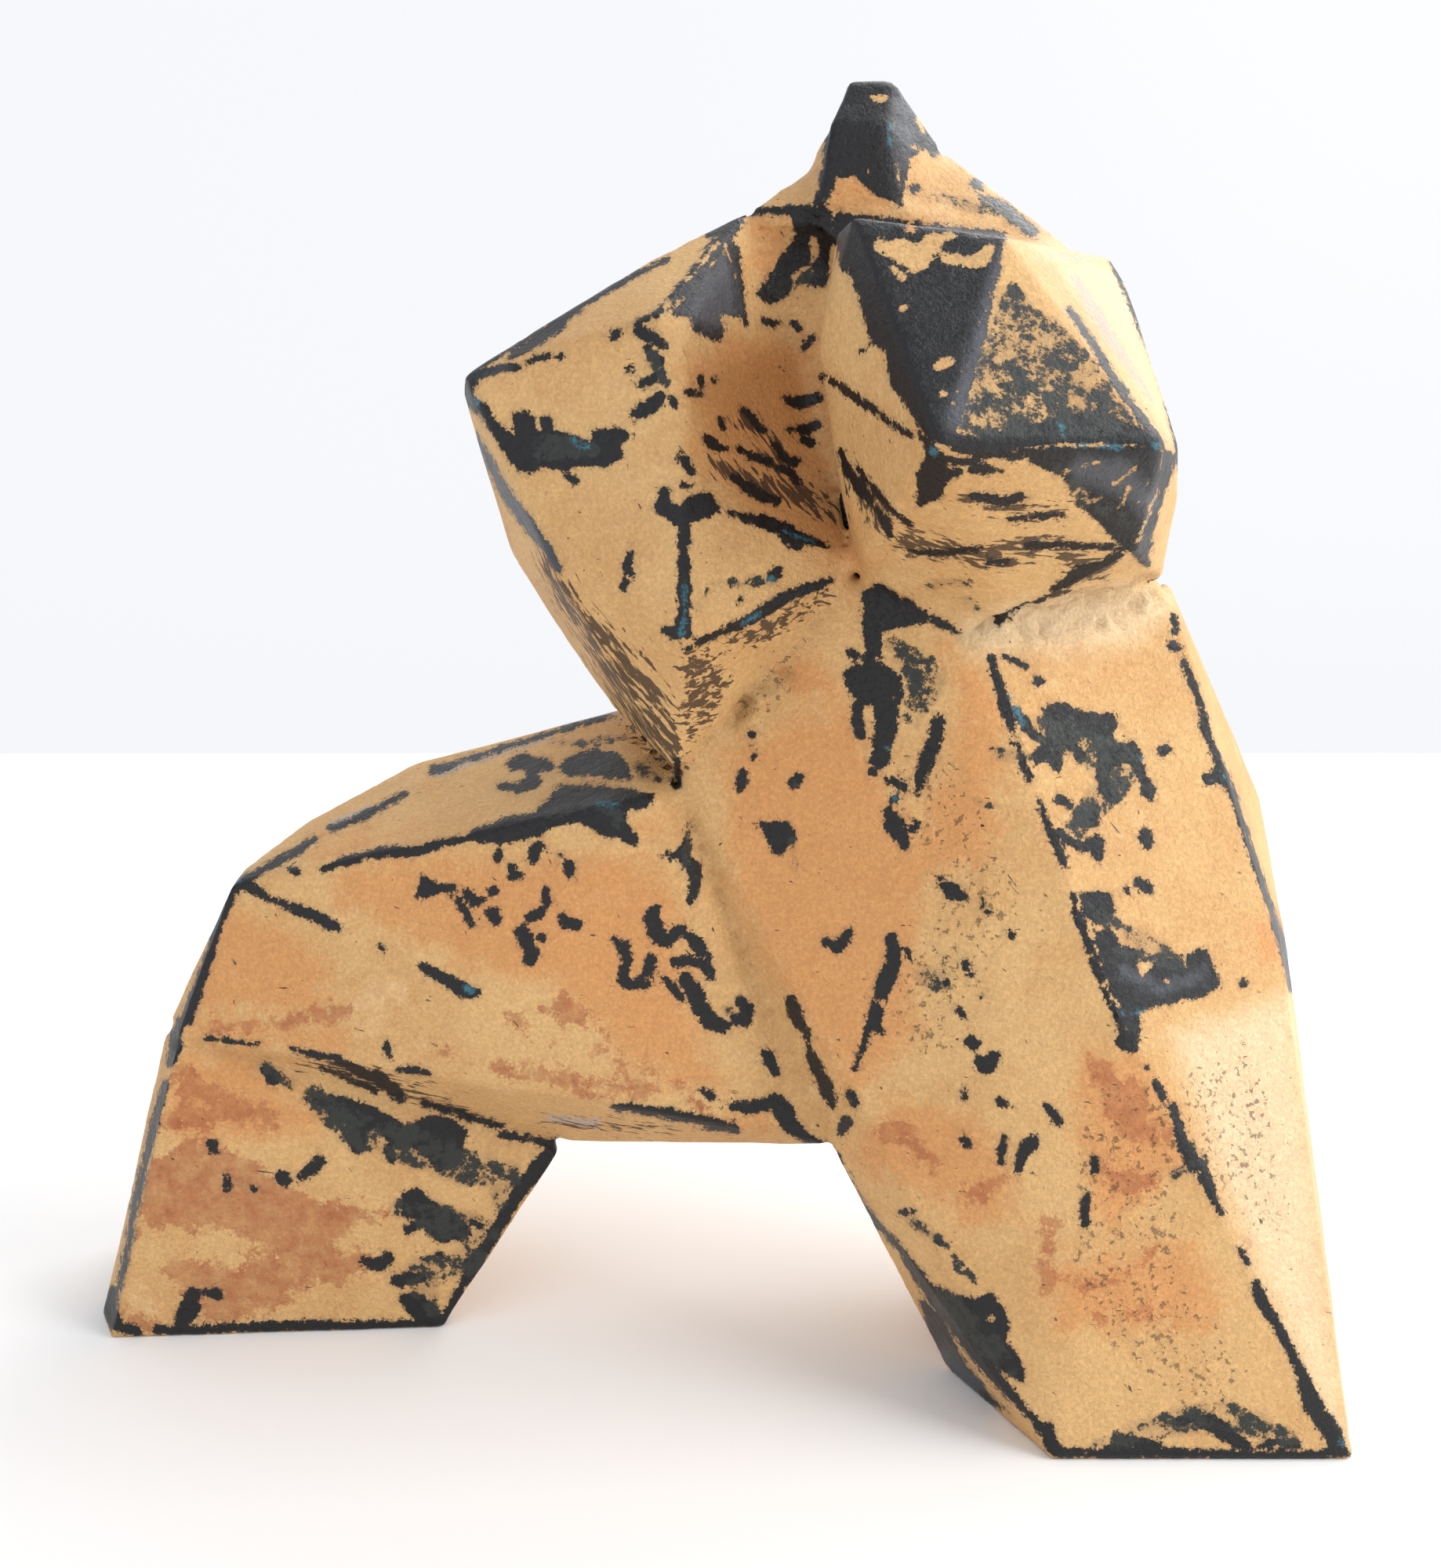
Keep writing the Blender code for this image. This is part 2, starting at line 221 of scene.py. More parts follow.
chestWear = {
    "star": [(1101, 752), (1122, 747), (1146, 764), (1170, 776), (1192, 790), (1165, 797), (1140, 798),
             (1124, 808), (1122, 835), (1130, 850), (1145, 862), (1150, 880), (1146, 905), (1142, 935),
             (1132, 955), (1133, 970), (1120, 980), (1110, 972), (1113, 950), (1118, 925), (1112, 898),
             (1098, 896), (1082, 880), (1076, 858), (1086, 848), (1098, 852), (1104, 832), (1100, 800)],
    "starLeg": [(1094, 900, 5), (1090, 918, 6), (1098, 938, 5)],
    "starTip": [(1188, 789, 3), (1208, 800, 3), (1224, 809, 2.5)],
    "starEar": [(1084, 832, 2.5), (1094, 838, 3)],
    "blade": [(1197, 918, 7), (1192, 944, 8), (1182, 968, 9), (1174, 990, 7), (1169, 1012, 3)],
    "bladeFleck": [(1113, 984, 4)],
    "dots": [(1136, 996, 4), (1150, 1003, 5)],
    "dotsLow": [(1140, 1020, 5)],
    "drop": [(1132, 1038, 6), (1140, 1052, 11), (1148, 1066, 8), (1154, 1082, 3)],
    "dropFleck": [(1163, 1058, 3), (1172, 1047, 2.5)],
    "heartFleck": [(957, 937, 6)],
    "heartFleckLow": [(962, 965, 3.5)],
    "smudgeLeft": [(946, 985, 4), (944, 1003, 5)],
    "smudgeRight": [(1012, 1000, 6), (1018, 990, 4)],
    "shield": [(962, 1048), (985, 1052), (1005, 1050), (1012, 1062), (1004, 1080), (992, 1092), (982, 1080),
               (976, 1064)],
    "seamTop": [(842, 1095, 2), (862, 1092, 5), (876, 1084, 6), (878, 1072, 3)],
    "seamMiddle": [(874, 1094, 6), (886, 1104, 7), (888, 1120, 6), (884, 1140, 6), (880, 1152, 3)],
    "ringTop": [(838, 1158, 4), (830, 1172, 8), (838, 1190, 11), (852, 1200, 8), (862, 1190, 6),
                (872, 1186, 4)],
    "ringRight": [(878, 1194, 5), (890, 1206, 8), (902, 1220, 5)],
    "ringBar": [(860, 1228, 5), (880, 1225, 5), (900, 1231, 6), (906, 1246, 5)],
    "ringTail": [(874, 1250, 7), (884, 1264, 10), (892, 1284, 9), (904, 1300, 10), (916, 1311, 7),
                 (928, 1308, 4)],
    "ringEnd": [(938, 1302, 5), (950, 1302, 7), (954, 1286, 7), (944, 1278, 5)],
    "ringStem": [(849, 1249, 4), (860, 1262, 4), (870, 1276, 3)],
    "ringLeft": [(783, 1199, 3), (796, 1210, 7), (800, 1225, 5), (795, 1240, 5), (798, 1253, 7),
                 (812, 1258, 5), (826, 1256, 4)],
    "ringSpur": [(829, 1224, 7), (826, 1240, 5), (818, 1249, 3)],
    "seedLeft": [(977, 1344, 6), (983, 1356, 7), (990, 1370, 3)],
    "seedTop": [(1006, 1276, 5), (1012, 1290, 8), (1019, 1306, 6), (1028, 1324, 3)],
    "seedLine": [(1030, 1338, 3), (1036, 1356, 6), (1046, 1376, 7), (1056, 1396, 7), (1060, 1408, 4)],
    "seedSpot": [(1084, 1398, 6), (1090, 1408, 4)],
    "seedSpotLow": [(1077, 1432, 6), (1071, 1446, 3)],
    "birdLeft": [(1048, 1199, 3), (1062, 1206, 5)],
    "birdRight": [(1066, 1210, 6), (1076, 1200, 6), (1084, 1187, 3)],
    "flame": [(1136, 1194, 3), (1139, 1214, 8), (1136, 1236, 10), (1126, 1260, 8), (1118, 1288, 9),
              (1112, 1306, 7), (1122, 1315, 4)],
    "flameTail": [(1106, 1316, 4), (1098, 1340, 2.5), (1090, 1364, 1.5)],
    "flameFleck": [(1157, 1214, 2.5), (1160, 1224, 3)],
    "beetle": [(1200, 1130, 4), (1212, 1136, 8), (1226, 1143, 7)],
    "beetleTop": [(1198, 1121, 3)],
    "trailOne": [(1250, 1152, 4)],
    "trailTwo": [(1261, 1166, 3.5)],
    "trailThree": [(1284, 1188, 3), (1291, 1196, 3)],
    "pebbleOne": [(1204, 1226, 4.5)],
    "pebbleTwo": [(1231, 1228, 4), (1238, 1244, 3)],
    "pebbleThree": [(1206, 1254, 4.5)],
    "pebbleFour": [(1255, 1270, 4)],
    "pebbleFive": [(1222, 1290, 4), (1232, 1298, 3)],
    "lowEdge": [(783, 1413, 4), (810, 1415, 5), (850, 1422, 6), (880, 1427, 6), (910, 1435, 7),
                (936, 1442, 5)],
    "lowEdgeRight": [(934, 1411, 5), (955, 1415, 7), (975, 1408, 8), (990, 1404, 8), (1000, 1420, 11),
                     (1012, 1440, 9), (1028, 1453, 6), (1056, 1466, 3)],
    "lowEdgeFleck": [(896, 1390, 3), (906, 1400, 4)],
}
rightLegWearAndShade = {
    "ridgeTop": [(1264, 840, 3), (1272, 864, 5), (1281, 890, 6), (1288, 918, 6), (1292, 946, 5)],
    "ridgeTurn": [(1296, 905, 4), (1312, 930, 5), (1334, 946, 5), (1352, 950, 4)],
    "ridgeUpper": [(1300, 952, 3), (1306, 972, 5), (1314, 992, 4)],
    "ridgeMiddle": [(1326, 1024, 3), (1334, 1044, 4), (1344, 1068, 5), (1352, 1088, 5), (1358, 1104, 4)],
    "ridgeLong": [(1368, 1140, 3), (1373, 1165, 4), (1385, 1192, 5), (1393, 1216, 5), (1402, 1242, 5),
                  (1412, 1266, 4), (1420, 1286, 3)],
    "spotHigh": [(1326, 868, 6)],
    "thornHigh": [(1280, 838, 2), (1296, 842, 3), (1308, 851, 2)],
    "mass": [(1332, 903), (1352, 896), (1376, 905), (1400, 911), (1420, 909), (1428, 925), (1414, 940),
             (1430, 950), (1446, 944), (1456, 960), (1461, 985), (1476, 1005), (1470, 1022), (1458, 1010),
             (1452, 986), (1440, 972), (1426, 976), (1414, 988), (1426, 1005), (1432, 1022), (1415, 1024),
             (1402, 1006), (1400, 985), (1404, 962), (1398, 944), (1384, 936), (1374, 946), (1386, 962),
             (1378, 972), (1364, 952), (1354, 948), (1356, 975), (1350, 986), (1336, 968), (1324, 976),
             (1314, 965), (1330, 950), (1342, 936)],
    "massDotOne": [(1353, 1020, 6), (1368, 1028, 3)],
    "massDotTwo": [(1398, 1030, 6), (1394, 1048, 8)],
    "massArc": [(1350, 1060, 4), (1364, 1072, 5), (1384, 1080, 5), (1400, 1074, 8), (1404, 1090, 6)],
    "massDotThree": [(1461, 1064, 7), (1465, 1078, 5)],
    "massDotFour": [(1454, 1125, 6), (1466, 1133, 7)],
    "massDotFive": [(1440, 1135, 3)],
    "faintSpot": [(1484, 958, 5), (1492, 955, 3)],
    "block": [(1378, 1140), (1396, 1137), (1418, 1140), (1421, 1160), (1414, 1182), (1394, 1176),
              (1384, 1162)],
    "bootPatch": [(1398, 1190), (1415, 1184), (1430, 1206), (1450, 1210), (1452, 1232), (1456, 1256),
                  (1474, 1232), (1500, 1222), (1515, 1236), (1520, 1215), (1540, 1212), (1548, 1236),
                  (1556, 1256), (1540, 1268), (1510, 1276), (1480, 1283), (1450, 1291), (1430, 1284),
                  (1415, 1252), (1405, 1216)],
    "bootSpot": [(1587, 1256, 4)],
    "bootFoot": [(1422, 1286), (1452, 1290), (1456, 1302), (1452, 1324), (1456, 1340), (1440, 1343),
                 (1425, 1335), (1426, 1314)],
    "outerTop": [(1498, 788, 3), (1500, 804, 4)],
    "outerSpot": [(1496, 823, 5), (1506, 826, 3)],
    "outerEdge": [(1510, 842, 3), (1525, 876, 3.5), (1535, 906, 4), (1540, 930, 5), (1547, 948, 3),
                  (1556, 972, 4), (1566, 992, 6)],
    "outerFan": [(1552, 972), (1562, 985), (1572, 1004), (1552, 998), (1538, 1000), (1536, 990),
                 (1548, 986)],
    "outerLong": [(1566, 992, 5), (1574, 1008, 4), (1582, 1034, 3), (1592, 1064, 3), (1602, 1098, 3),
                  (1616, 1136, 3), (1628, 1174, 3.5), (1638, 1204, 4), (1646, 1236, 3.5),
                  (1650, 1262, 2.5)],
    "ridgeLow": [(1478, 1384, 5), (1486, 1400, 3)],
    "ridgeLowest": [(1497, 1414, 4), (1504, 1440, 5), (1514, 1464, 9), (1526, 1486, 9), (1540, 1506, 8),
                    (1550, 1532, 4), (1560, 1550, 2)],
    "ridgeTick": [(1464, 1362, 3)],
    "ridgeFleck": [(1585, 1598, 3.5), (1591, 1612, 2.5)],
    "footRidge": [(1601, 1638, 5), (1610, 1660, 6), (1625, 1682, 7), (1640, 1710, 4), (1656, 1742, 5),
                  (1668, 1770, 9), (1676, 1795, 12), (1690, 1812, 10), (1702, 1832, 11), (1708, 1848, 9)],
    "soleLine": [(1346, 1852, 5), (1400, 1855, 5), (1450, 1854, 6), (1500, 1854, 5), (1560, 1857, 5),
                 (1620, 1858, 6), (1680, 1857, 5), (1716, 1850, 5)],
    "soleBlots": [(1500, 1818, 5), (1520, 1808, 7), (1548, 1816, 9), (1568, 1832, 9), (1588, 1845, 7)],
    "soleBlotsLeft": [(1412, 1848, 4), (1436, 1838, 5), (1460, 1842, 6), (1480, 1846, 4)],
    "soleBlotsRight": [(1610, 1846, 5), (1630, 1838, 4), (1654, 1846, 5)],
    "soleCorner": [(1335, 1824, 6), (1340, 1844, 8), (1350, 1854, 6)],
    "innerEdge": [(1142, 1588, 3), (1160, 1614, 5), (1175, 1636, 7), (1190, 1656, 9), (1206, 1672, 12),
                  (1230, 1700, 14), (1250, 1730, 11), (1270, 1760, 7), (1292, 1784, 5), (1320, 1814, 4),
                  (1336, 1840, 5)],
    "innerMass": [(1192, 1640), (1215, 1656), (1240, 1656), (1264, 1650), (1275, 1665), (1286, 1690),
                  (1282, 1712), (1300, 1736), (1306, 1762), (1290, 1756), (1270, 1745), (1255, 1726),
                  (1236, 1710), (1215, 1690), (1200, 1666)],
    # painted shade: black on the inner side of the right leg, which faces away from the light
    "innerSide": [(1172, 1660), (1200, 1682), (1214, 1712), (1232, 1745), (1258, 1776), (1286, 1800),
                  (1232, 1782), (1208, 1756), (1194, 1730), (1180, 1690)],
    "innerLine": [(1064, 1476, 2.5), (1080, 1508, 3), (1100, 1540, 3), (1120, 1565, 3), (1140, 1588, 3)],
    "leafOne": [(1232, 1326, 4), (1242, 1332, 7)],
    "leafTwo": [(1248, 1354, 6), (1258, 1362, 9), (1270, 1346, 5)],
    "leafThree": [(1227, 1392, 3), (1230, 1402, 3)],
    "leafFour": [(1274, 1406, 4), (1288, 1414, 3)],
    "leafFive": [(1334, 1409, 3), (1342, 1420, 5), (1350, 1433, 5)],
    "leafSix": [(1226, 1452, 2.5), (1238, 1462, 4)],
    "leafSeven": [(1280, 1452, 3), (1278, 1468, 4), (1277, 1484, 4)],
    "leafEight": [(1318, 1458, 7), (1307, 1464, 7), (1303, 1480, 6), (1298, 1492, 4)],
    "leafNine": [(1397, 1478, 4), (1396, 1493, 4.5)],
    "leafTen": [(1388, 1522, 2.5), (1384, 1538, 6), (1384, 1556, 5), (1384, 1566, 3)],
    "bruiseOne": [(1150, 1549, 3), (1160, 1546, 3)],
    "bruiseTwo": [(1194, 1583, 4), (1200, 1588, 3)],
}
leftThighWear = {
    "tendon": [(412, 1108, 5), (432, 1099, 5), (462, 1090, 5), (500, 1085, 6), (532, 1085, 6),
               (562, 1075, 4), (592, 1070, 4), (612, 1064, 5)],
    "tendonMass": [(600, 1060), (640, 1045), (680, 1035), (700, 1018), (712, 1002), (760, 1002),
                   (800, 1005), (836, 1014), (826, 1030), (800, 1032), (795, 1050), (812, 1068),
                   (810, 1080), (790, 1068), (770, 1066), (750, 1052), (735, 1045), (700, 1055),
                   (680, 1066), (640, 1076), (610, 1072)],
    "backPatchOne": [(652, 974, 5), (668, 968, 8), (684, 974, 8), (700, 974, 4)],
    "backPatchTwo": [(638, 1000, 4), (662, 1004, 5), (680, 994, 7), (676, 984, 4)],
    "backPatchThree": [(712, 975), (735, 960), (760, 954), (786, 960), (800, 976), (804, 992), (775, 990),
                       (750, 985), (726, 986)],
    "kneeCap": [(292, 1142, 6), (296, 1130, 7), (308, 1126, 8), (318, 1132, 8), (332, 1138, 4),
                (346, 1148, 3)],
    "kneeTop": [(310, 1120, 6), (322, 1115, 5), (336, 1107, 4), (352, 1097, 4), (368, 1089, 4),
                (386, 1078, 4), (402, 1068, 2)],
    "backLineOne": [(420, 1056, 2.5), (450, 1045, 3.5), (482, 1028, 3.5), (516, 1010, 2.5)],
    "backLineTwo": [(552, 981, 4), (566, 977, 3.5), (590, 968, 2), (624, 957, 2), (660, 946, 1.8),
                    (705, 932, 1.8), (780, 908, 1.8)],
    "kneeRidge": [(348, 1149, 3), (370, 1157, 4), (395, 1166, 7), (412, 1175, 7), (432, 1184, 3)],
    "kneeFleck": [(370, 1106, 4), (376, 1113, 4)],
    "shinDash": [(484, 1206, 2), (491, 1213, 2)],
    "spear": [(538, 1233, 4), (558, 1244, 6), (578, 1257, 8), (596, 1266, 8), (609, 1266, 3)],
    "comma": [(494, 1334, 5), (494, 1346, 3)],
    "frogOne": [(540, 1122, 5), (544, 1132, 9), (536, 1141, 6)],
    "frogTwo": [(555, 1134, 6), (578, 1132, 4)],
    "frogThree": [(583, 1148, 3), (594, 1164, 4), (602, 1180, 3)],
    "frogFour": [(596, 1140, 5), (602, 1150, 7), (614, 1149, 4)],
    "frogFive": [(628, 1137, 6)],
    "frogSix": [(627, 1163, 7), (632, 1174, 6)],
    "frogSeven": [(650, 1106, 4), (656, 1116, 6), (664, 1118, 4)],
    "frogEight": [(684, 1083, 8), (680, 1096, 5)],
    "frogNine": [(638, 1080, 3), (634, 1094, 3)],
    "frogTen": [(711, 1092, 3)],
    "frogEleven": [(724, 1106, 6), (728, 1120, 3)],
    "frogTwelve": [(694, 1137, 4), (698, 1154, 4)],
    "frogThirteen": [(676, 1172, 6), (690, 1164, 5)],
    "frogFourteen": [(664, 1188, 7), (672, 1204, 8), (680, 1214, 7), (674, 1226, 6)],
    "frogFifteen": [(692, 1198, 5)],
    "frogSixteen": [(718, 1170, 4), (724, 1178, 6), (736, 1179, 5)],
}
leftShinWear = {
    "outerKnee": [(292, 1146, 6), (280, 1166, 5), (272, 1195, 5), (262, 1228, 5), (252, 1258, 6),
                  (242, 1284, 7), (236, 1300, 7)],
    "outerCrease": [(228, 1306, 5), (222, 1322, 6), (222, 1338, 9), (214, 1356, 4)],
    "outerShin": [(208, 1384, 3.5), (200, 1412, 3.5), (190, 1452, 3.5), (181, 1490, 3), (174, 1520, 3.5),
                  (166, 1560, 2.5), (158, 1604, 2.5), (150, 1642, 2.5)],
    "outerToe": [(143, 1646, 5), (138, 1672, 8), (148, 1692, 7), (176, 1700, 4)],
    "soleLine": [(200, 1698, 4), (232, 1697, 5), (262, 1697, 4), (300, 1694, 4), (350, 1692, 5),
                 (400, 1692, 5), (450, 1692, 4), (500, 1691, 4), (540, 1689, 6), (566, 1684, 6)],
    "toePatch": [(246, 1652, 8), (240, 1674, 14), (230, 1690, 7)],
    "toePatchFleck": [(264, 1650, 4), (276, 1651, 6)],
    "topFleckOne": [(338, 1362, 5), (348, 1376, 8)],
    "topFleckTwo": [(394, 1398, 5)],
    "cloudUpper": [(385, 1405), (420, 1399), (450, 1404), (480, 1415), (500, 1425), (520, 1440),
                   (545, 1426), (580, 1430), (594, 1445), (590, 1466), (576, 1486), (560, 1496),
                   (545, 1480), (530, 1462), (505, 1465), (492, 1455), (480, 1438), (466, 1446),
                   (471, 1465), (456, 1473), (442, 1460), (449, 1436), (425, 1428), (410, 1412)],
    "cloudTail": [(494, 1468, 6), (500, 1480, 4)],
    "footprint": [(360, 1502, 8), (366, 1508, 6)],
    "footprintToe": [(384, 1501, 4), (396, 1493, 7), (408, 1482, 6)],
    "cloudMiddle": [(514, 1524), (535, 1517), (552, 1536), (572, 1545), (592, 1560), (602, 1575),
                    (590, 1582), (575, 1582), (560, 1586), (545, 1570), (534, 1556), (516, 1550),
                    (508, 1538)],
    "cloudMiddleFleck": [(520, 1570, 4), (532, 1563, 5)],
    "cloudLow": [(466, 1610, 5), (484, 1614, 7), (494, 1606, 7)],
    "cloudLowRight": [(504, 1636, 5), (520, 1631, 7), (538, 1632, 5)],
    "cloudLowFleck": [(540, 1610, 3), (562, 1603, 4)],
    "solePatch": [(516, 1658, 6), (530, 1666, 13), (545, 1680, 12), (558, 1688, 8)],
    "innerEdge": [(712, 1462, 6), (702, 1478, 10), (684, 1494, 10), (666, 1516, 9), (650, 1541, 8),
                  (636, 1565, 7), (620, 1590, 7), (605, 1616, 8), (590, 1641, 5), (576, 1670, 6),
                  (566, 1686, 6)],
    "innerEdgeFleck": [(602, 1560, 4), (612, 1566, 4)],
    "innerEdgeBlot": [(600, 1610, 7), (596, 1620, 5)],
    "faintOne": [(270, 1460, 5), (273, 1470, 4)],
    "faintTwo": [(286, 1500, 3), (290, 1514, 5)],
    "faintThree": [(322, 1515, 4)],
    "creaseLine": [(262, 1326, 1.8), (300, 1330, 2), (326, 1333, 1.8)],
    "creaseStreak": [(372, 1340, 2), (400, 1347, 3), (432, 1350, 3)],
    "creaseMain": [(430, 1356, 4), (460, 1368, 6), (486, 1381, 8), (500, 1392, 7), (512, 1402, 5)],
    "creaseHair": [(410, 1364, 2), (440, 1375, 3), (480, 1394, 3)],
    "creaseRight": [(508, 1365, 3), (530, 1368, 4), (546, 1371, 2)],
    "creaseLong": [(540, 1408, 3), (572, 1418, 3.5), (602, 1428, 3), (640, 1438, 2)],
    "creaseEnd": [(640, 1449, 3), (680, 1455, 3), (702, 1461, 4)],
}
# islands of ochre left standing inside the black, and a painted highlight along the ball's ridge
ochreIslandsAndGlint = {
    "headDab": [(1113, 123, 6), (1128, 124, 6)],
    "headDabLow": [(1110, 214, 3), (1107, 222, 3)],
    "headDrop": [(1146, 208, 3), (1149, 236, 3)],
    "headSide": [(1172, 150, 6), (1180, 168, 5)],
    "headBead": [(1166, 187, 4), (1175, 189, 4)],
    "neckLozenge": [(1036, 306, 5), (1038, 324, 7), (1034, 334, 4)],
    "neckBead": [(1034, 288, 3)],
    "ballBlotch": [(1122, 312, 10), (1150, 318, 17), (1172, 330, 17), (1192, 304, 12), (1216, 298, 7)],
    "ballBlotchLow": [(1138, 340, 6), (1152, 352, 5)],
    "ballBlotchSide": [(1166, 342, 7)],
    "ballSun": [(1162, 289, 9)],
    "ballSecond": [(1208, 327, 8), (1234, 333, 9), (1254, 327, 12), (1262, 314, 8)],
    "ballThird": [(1148, 394, 5), (1160, 388, 3)],
    "ballFourth": [(1198, 463, 8), (1212, 458, 10)],
    "ballFifth": [(1203, 500, 8)],
    "ballSixth": [(1142, 368, 3)],
    "ridgeSlashOne": [(1360, 604, 3), (1402, 590, 3)],
    "ridgeSlashTwo": [(1418, 622, 3), (1448, 598, 3)],
    "ridgeSlashThree": [(1427, 652, 3), (1442, 622, 3)],
    "ridgeSlashFour": [(1454, 642, 2.5), (1466, 612, 2.5)],
    # painted highlight: a line of ochre where the ridge catches the light
    "ridgeGlint": [(1480, 626, 3), (1466, 662, 2.5), (1452, 694, 2)],
    "collarBead": [(852, 387, 8)],
    "collarChip": [(916, 308, 4), (905, 320, 5), (892, 338, 4), (872, 362, 3)],
    "barBead": [(872, 820, 6), (882, 820, 6)],
    "starBeadOne": [(1118, 837, 4), (1118, 845, 5)],
    "starBeadTwo": [(1140, 892, 3.5)],
    "starBeadThree": [(1172, 895, 4)],
    "flameBead": [(1125, 1281, 7)],
    "ridgeBead": [(1292, 930, 4), (1292, 940, 6)],
    "ridgeLip": [(1374, 1142, 2.5), (1384, 1176, 3), (1400, 1214, 3), (1410, 1246, 3), (1420, 1278, 3)],
    "massBead": [(1362, 924, 3)],
    "bootBead": [(1491, 1252, 5)],
    "bootFootBead": [(1438, 1312, 3)],
    "blockBead": [(1398, 1180, 3)],
    "legBead": [(1528, 1494, 4)],
    "innerBeadOne": [(1262, 1682, 6)],
    "innerBeadTwo": [(1276, 1704, 3)],
    "innerStreak": [(1222, 1724, 3), (1262, 1776, 5), (1296, 1808, 5), (1328, 1838, 4)],
    "thighBead": [(760, 1034, 3)],
}
# thin, dry black that only catches the high spots
dryBrush = {
    "headSlope": [(1180, 248, 5), (1210, 252, 10), (1244, 262, 9), (1276, 268, 10), (1300, 284, 8)],
    "ballFacet": [(1290, 350), (1330, 392), (1372, 424), (1410, 470), (1448, 528), (1468, 560), (1216, 560),
                  (1240, 480), (1262, 404)],
    "ballRidge": [(1350, 600, 10), (1390, 640, 18), (1430, 660, 16)],
    "starMottle": [(1140, 822, 14), (1165, 846, 24), (1190, 856, 20), (1178, 884, 22), (1160, 912, 16)],
    "teeSmudge": [(1184, 752, 8), (1210, 744, 6), (1236, 747, 6)],
    "teeSmudgeLow": [(1226, 766, 8), (1248, 780, 7)],
    "chestSmudge": [(946, 1000, 9)],
    "chestSmudgeRight": [(1012, 998, 9)],
    "shieldTail": [(1010, 1074, 8), (1014, 1108, 7)],
    "clusterMottle": [(1178, 1244, 14), (1192, 1256, 14)],
    "ridgeMottle": [(1268, 960, 10), (1300, 962, 12), (1316, 966, 8)],
    "thighMottle": [(818, 978, 14), (836, 992, 10)],
    "thighTopMottle": [(700, 946, 5), (760, 945, 8), (796, 938, 7)],
    "innerMottle": [(1150, 1552, 8), (1196, 1582, 9), (1244, 1640, 8)],
    "soleMottle": [(1400, 1846, 10), (1450, 1832, 16), (1510, 1812, 20), (1560, 1806, 22), (1600, 1820, 18),
                   (1650, 1840, 14)],
    "heelMottle": [(1600, 1640, 8)],
    "shinMottle": [(400, 1400, 16), (450, 1440, 26), (520, 1460, 30), (600, 1490, 26), (650, 1500, 18),
                   (640, 1530, 16)],
    "shinMottleLow": [(510, 1540, 14), (560, 1560, 26), (620, 1575, 22), (600, 1610, 20), (530, 1625, 20),
                      (550, 1670, 16)],
    "shinMottleTop": [(338, 1366, 12), (372, 1384, 9)],
    "massMottle": [(1330, 930, 20), (1390, 950, 30), (1440, 980, 24), (1370, 1060, 16)],
    "bootMottle": [(1430, 1215, 12), (1500, 1225, 14), (1390, 1160, 12)],
    "tendonMottle": [(700, 1040, 12), (780, 1020, 18), (790, 1056, 12)],
    "shoulderMottle": [(690, 570, 20), (760, 572, 14)],
    "legEdgeMottle": [(1200, 1660, 18), (1260, 1720, 22), (1290, 1750, 12)],
    "ringMottle": [(928, 1290, 10)],
    "bruiseMottle": [(985, 738, 11), (905, 750, 8), (892, 778, 6)],
    "columnMottle": [(830, 455, 12), (850, 490, 9)],
    "chestSeamMottle": [(880, 1050, 7), (874, 1110, 9)],
    "legLightMottle": [(1500, 1500, 10), (1540, 1480, 8)],
    "beetleMottle": [(1245, 1024, 8), (1297, 1038, 6)],
    "topNeckMottle": [(1000, 372, 9), (1030, 352, 8)],
}
# brushed streaks: steep ones on the shoulder, level ones under the ball and at the shin crease
steepStreaks = {
    "shoulderStrip": [(690, 716, 12), (728, 778, 20), (768, 824, 26), (806, 880, 34), (838, 930, 32),
                      (862, 976, 16)],
    "hollowHatch": [(920, 596, 16), (990, 622, 20), (1060, 650, 16)],
    "hollowHatchTop": [(950, 530, 14), (1000, 585, 18)],
    "ballSide": [(1080, 600, 12), (1110, 650, 16), (1140, 690, 10)],
}
levelStreaks = {
    "shoulderUnder": [(900, 842, 14), (908, 872, 24), (900, 905, 20), (884, 934, 12)],
    "shoulderUnderAgain": [(888, 850, 22), (896, 880, 24), (880, 910, 18)],
    "shoulderKeel": [(930, 822, 8), (970, 806, 18), (1010, 784, 16), (1056, 760, 9)],
    "shinCrease": [(380, 1352, 6), (450, 1370, 14), (520, 1390, 12), (600, 1424, 7)],
    "ballUnder": [(1150, 692, 14), (1240, 710, 18), (1340, 700, 18), (1410, 736, 14)],
    "ballUnderHigh": [(1230, 640, 8), (1290, 650, 10), (1360, 660, 8)],
    "thighUnder": [(700, 1432, 6), (780, 1438, 7), (860, 1444, 5)],
}
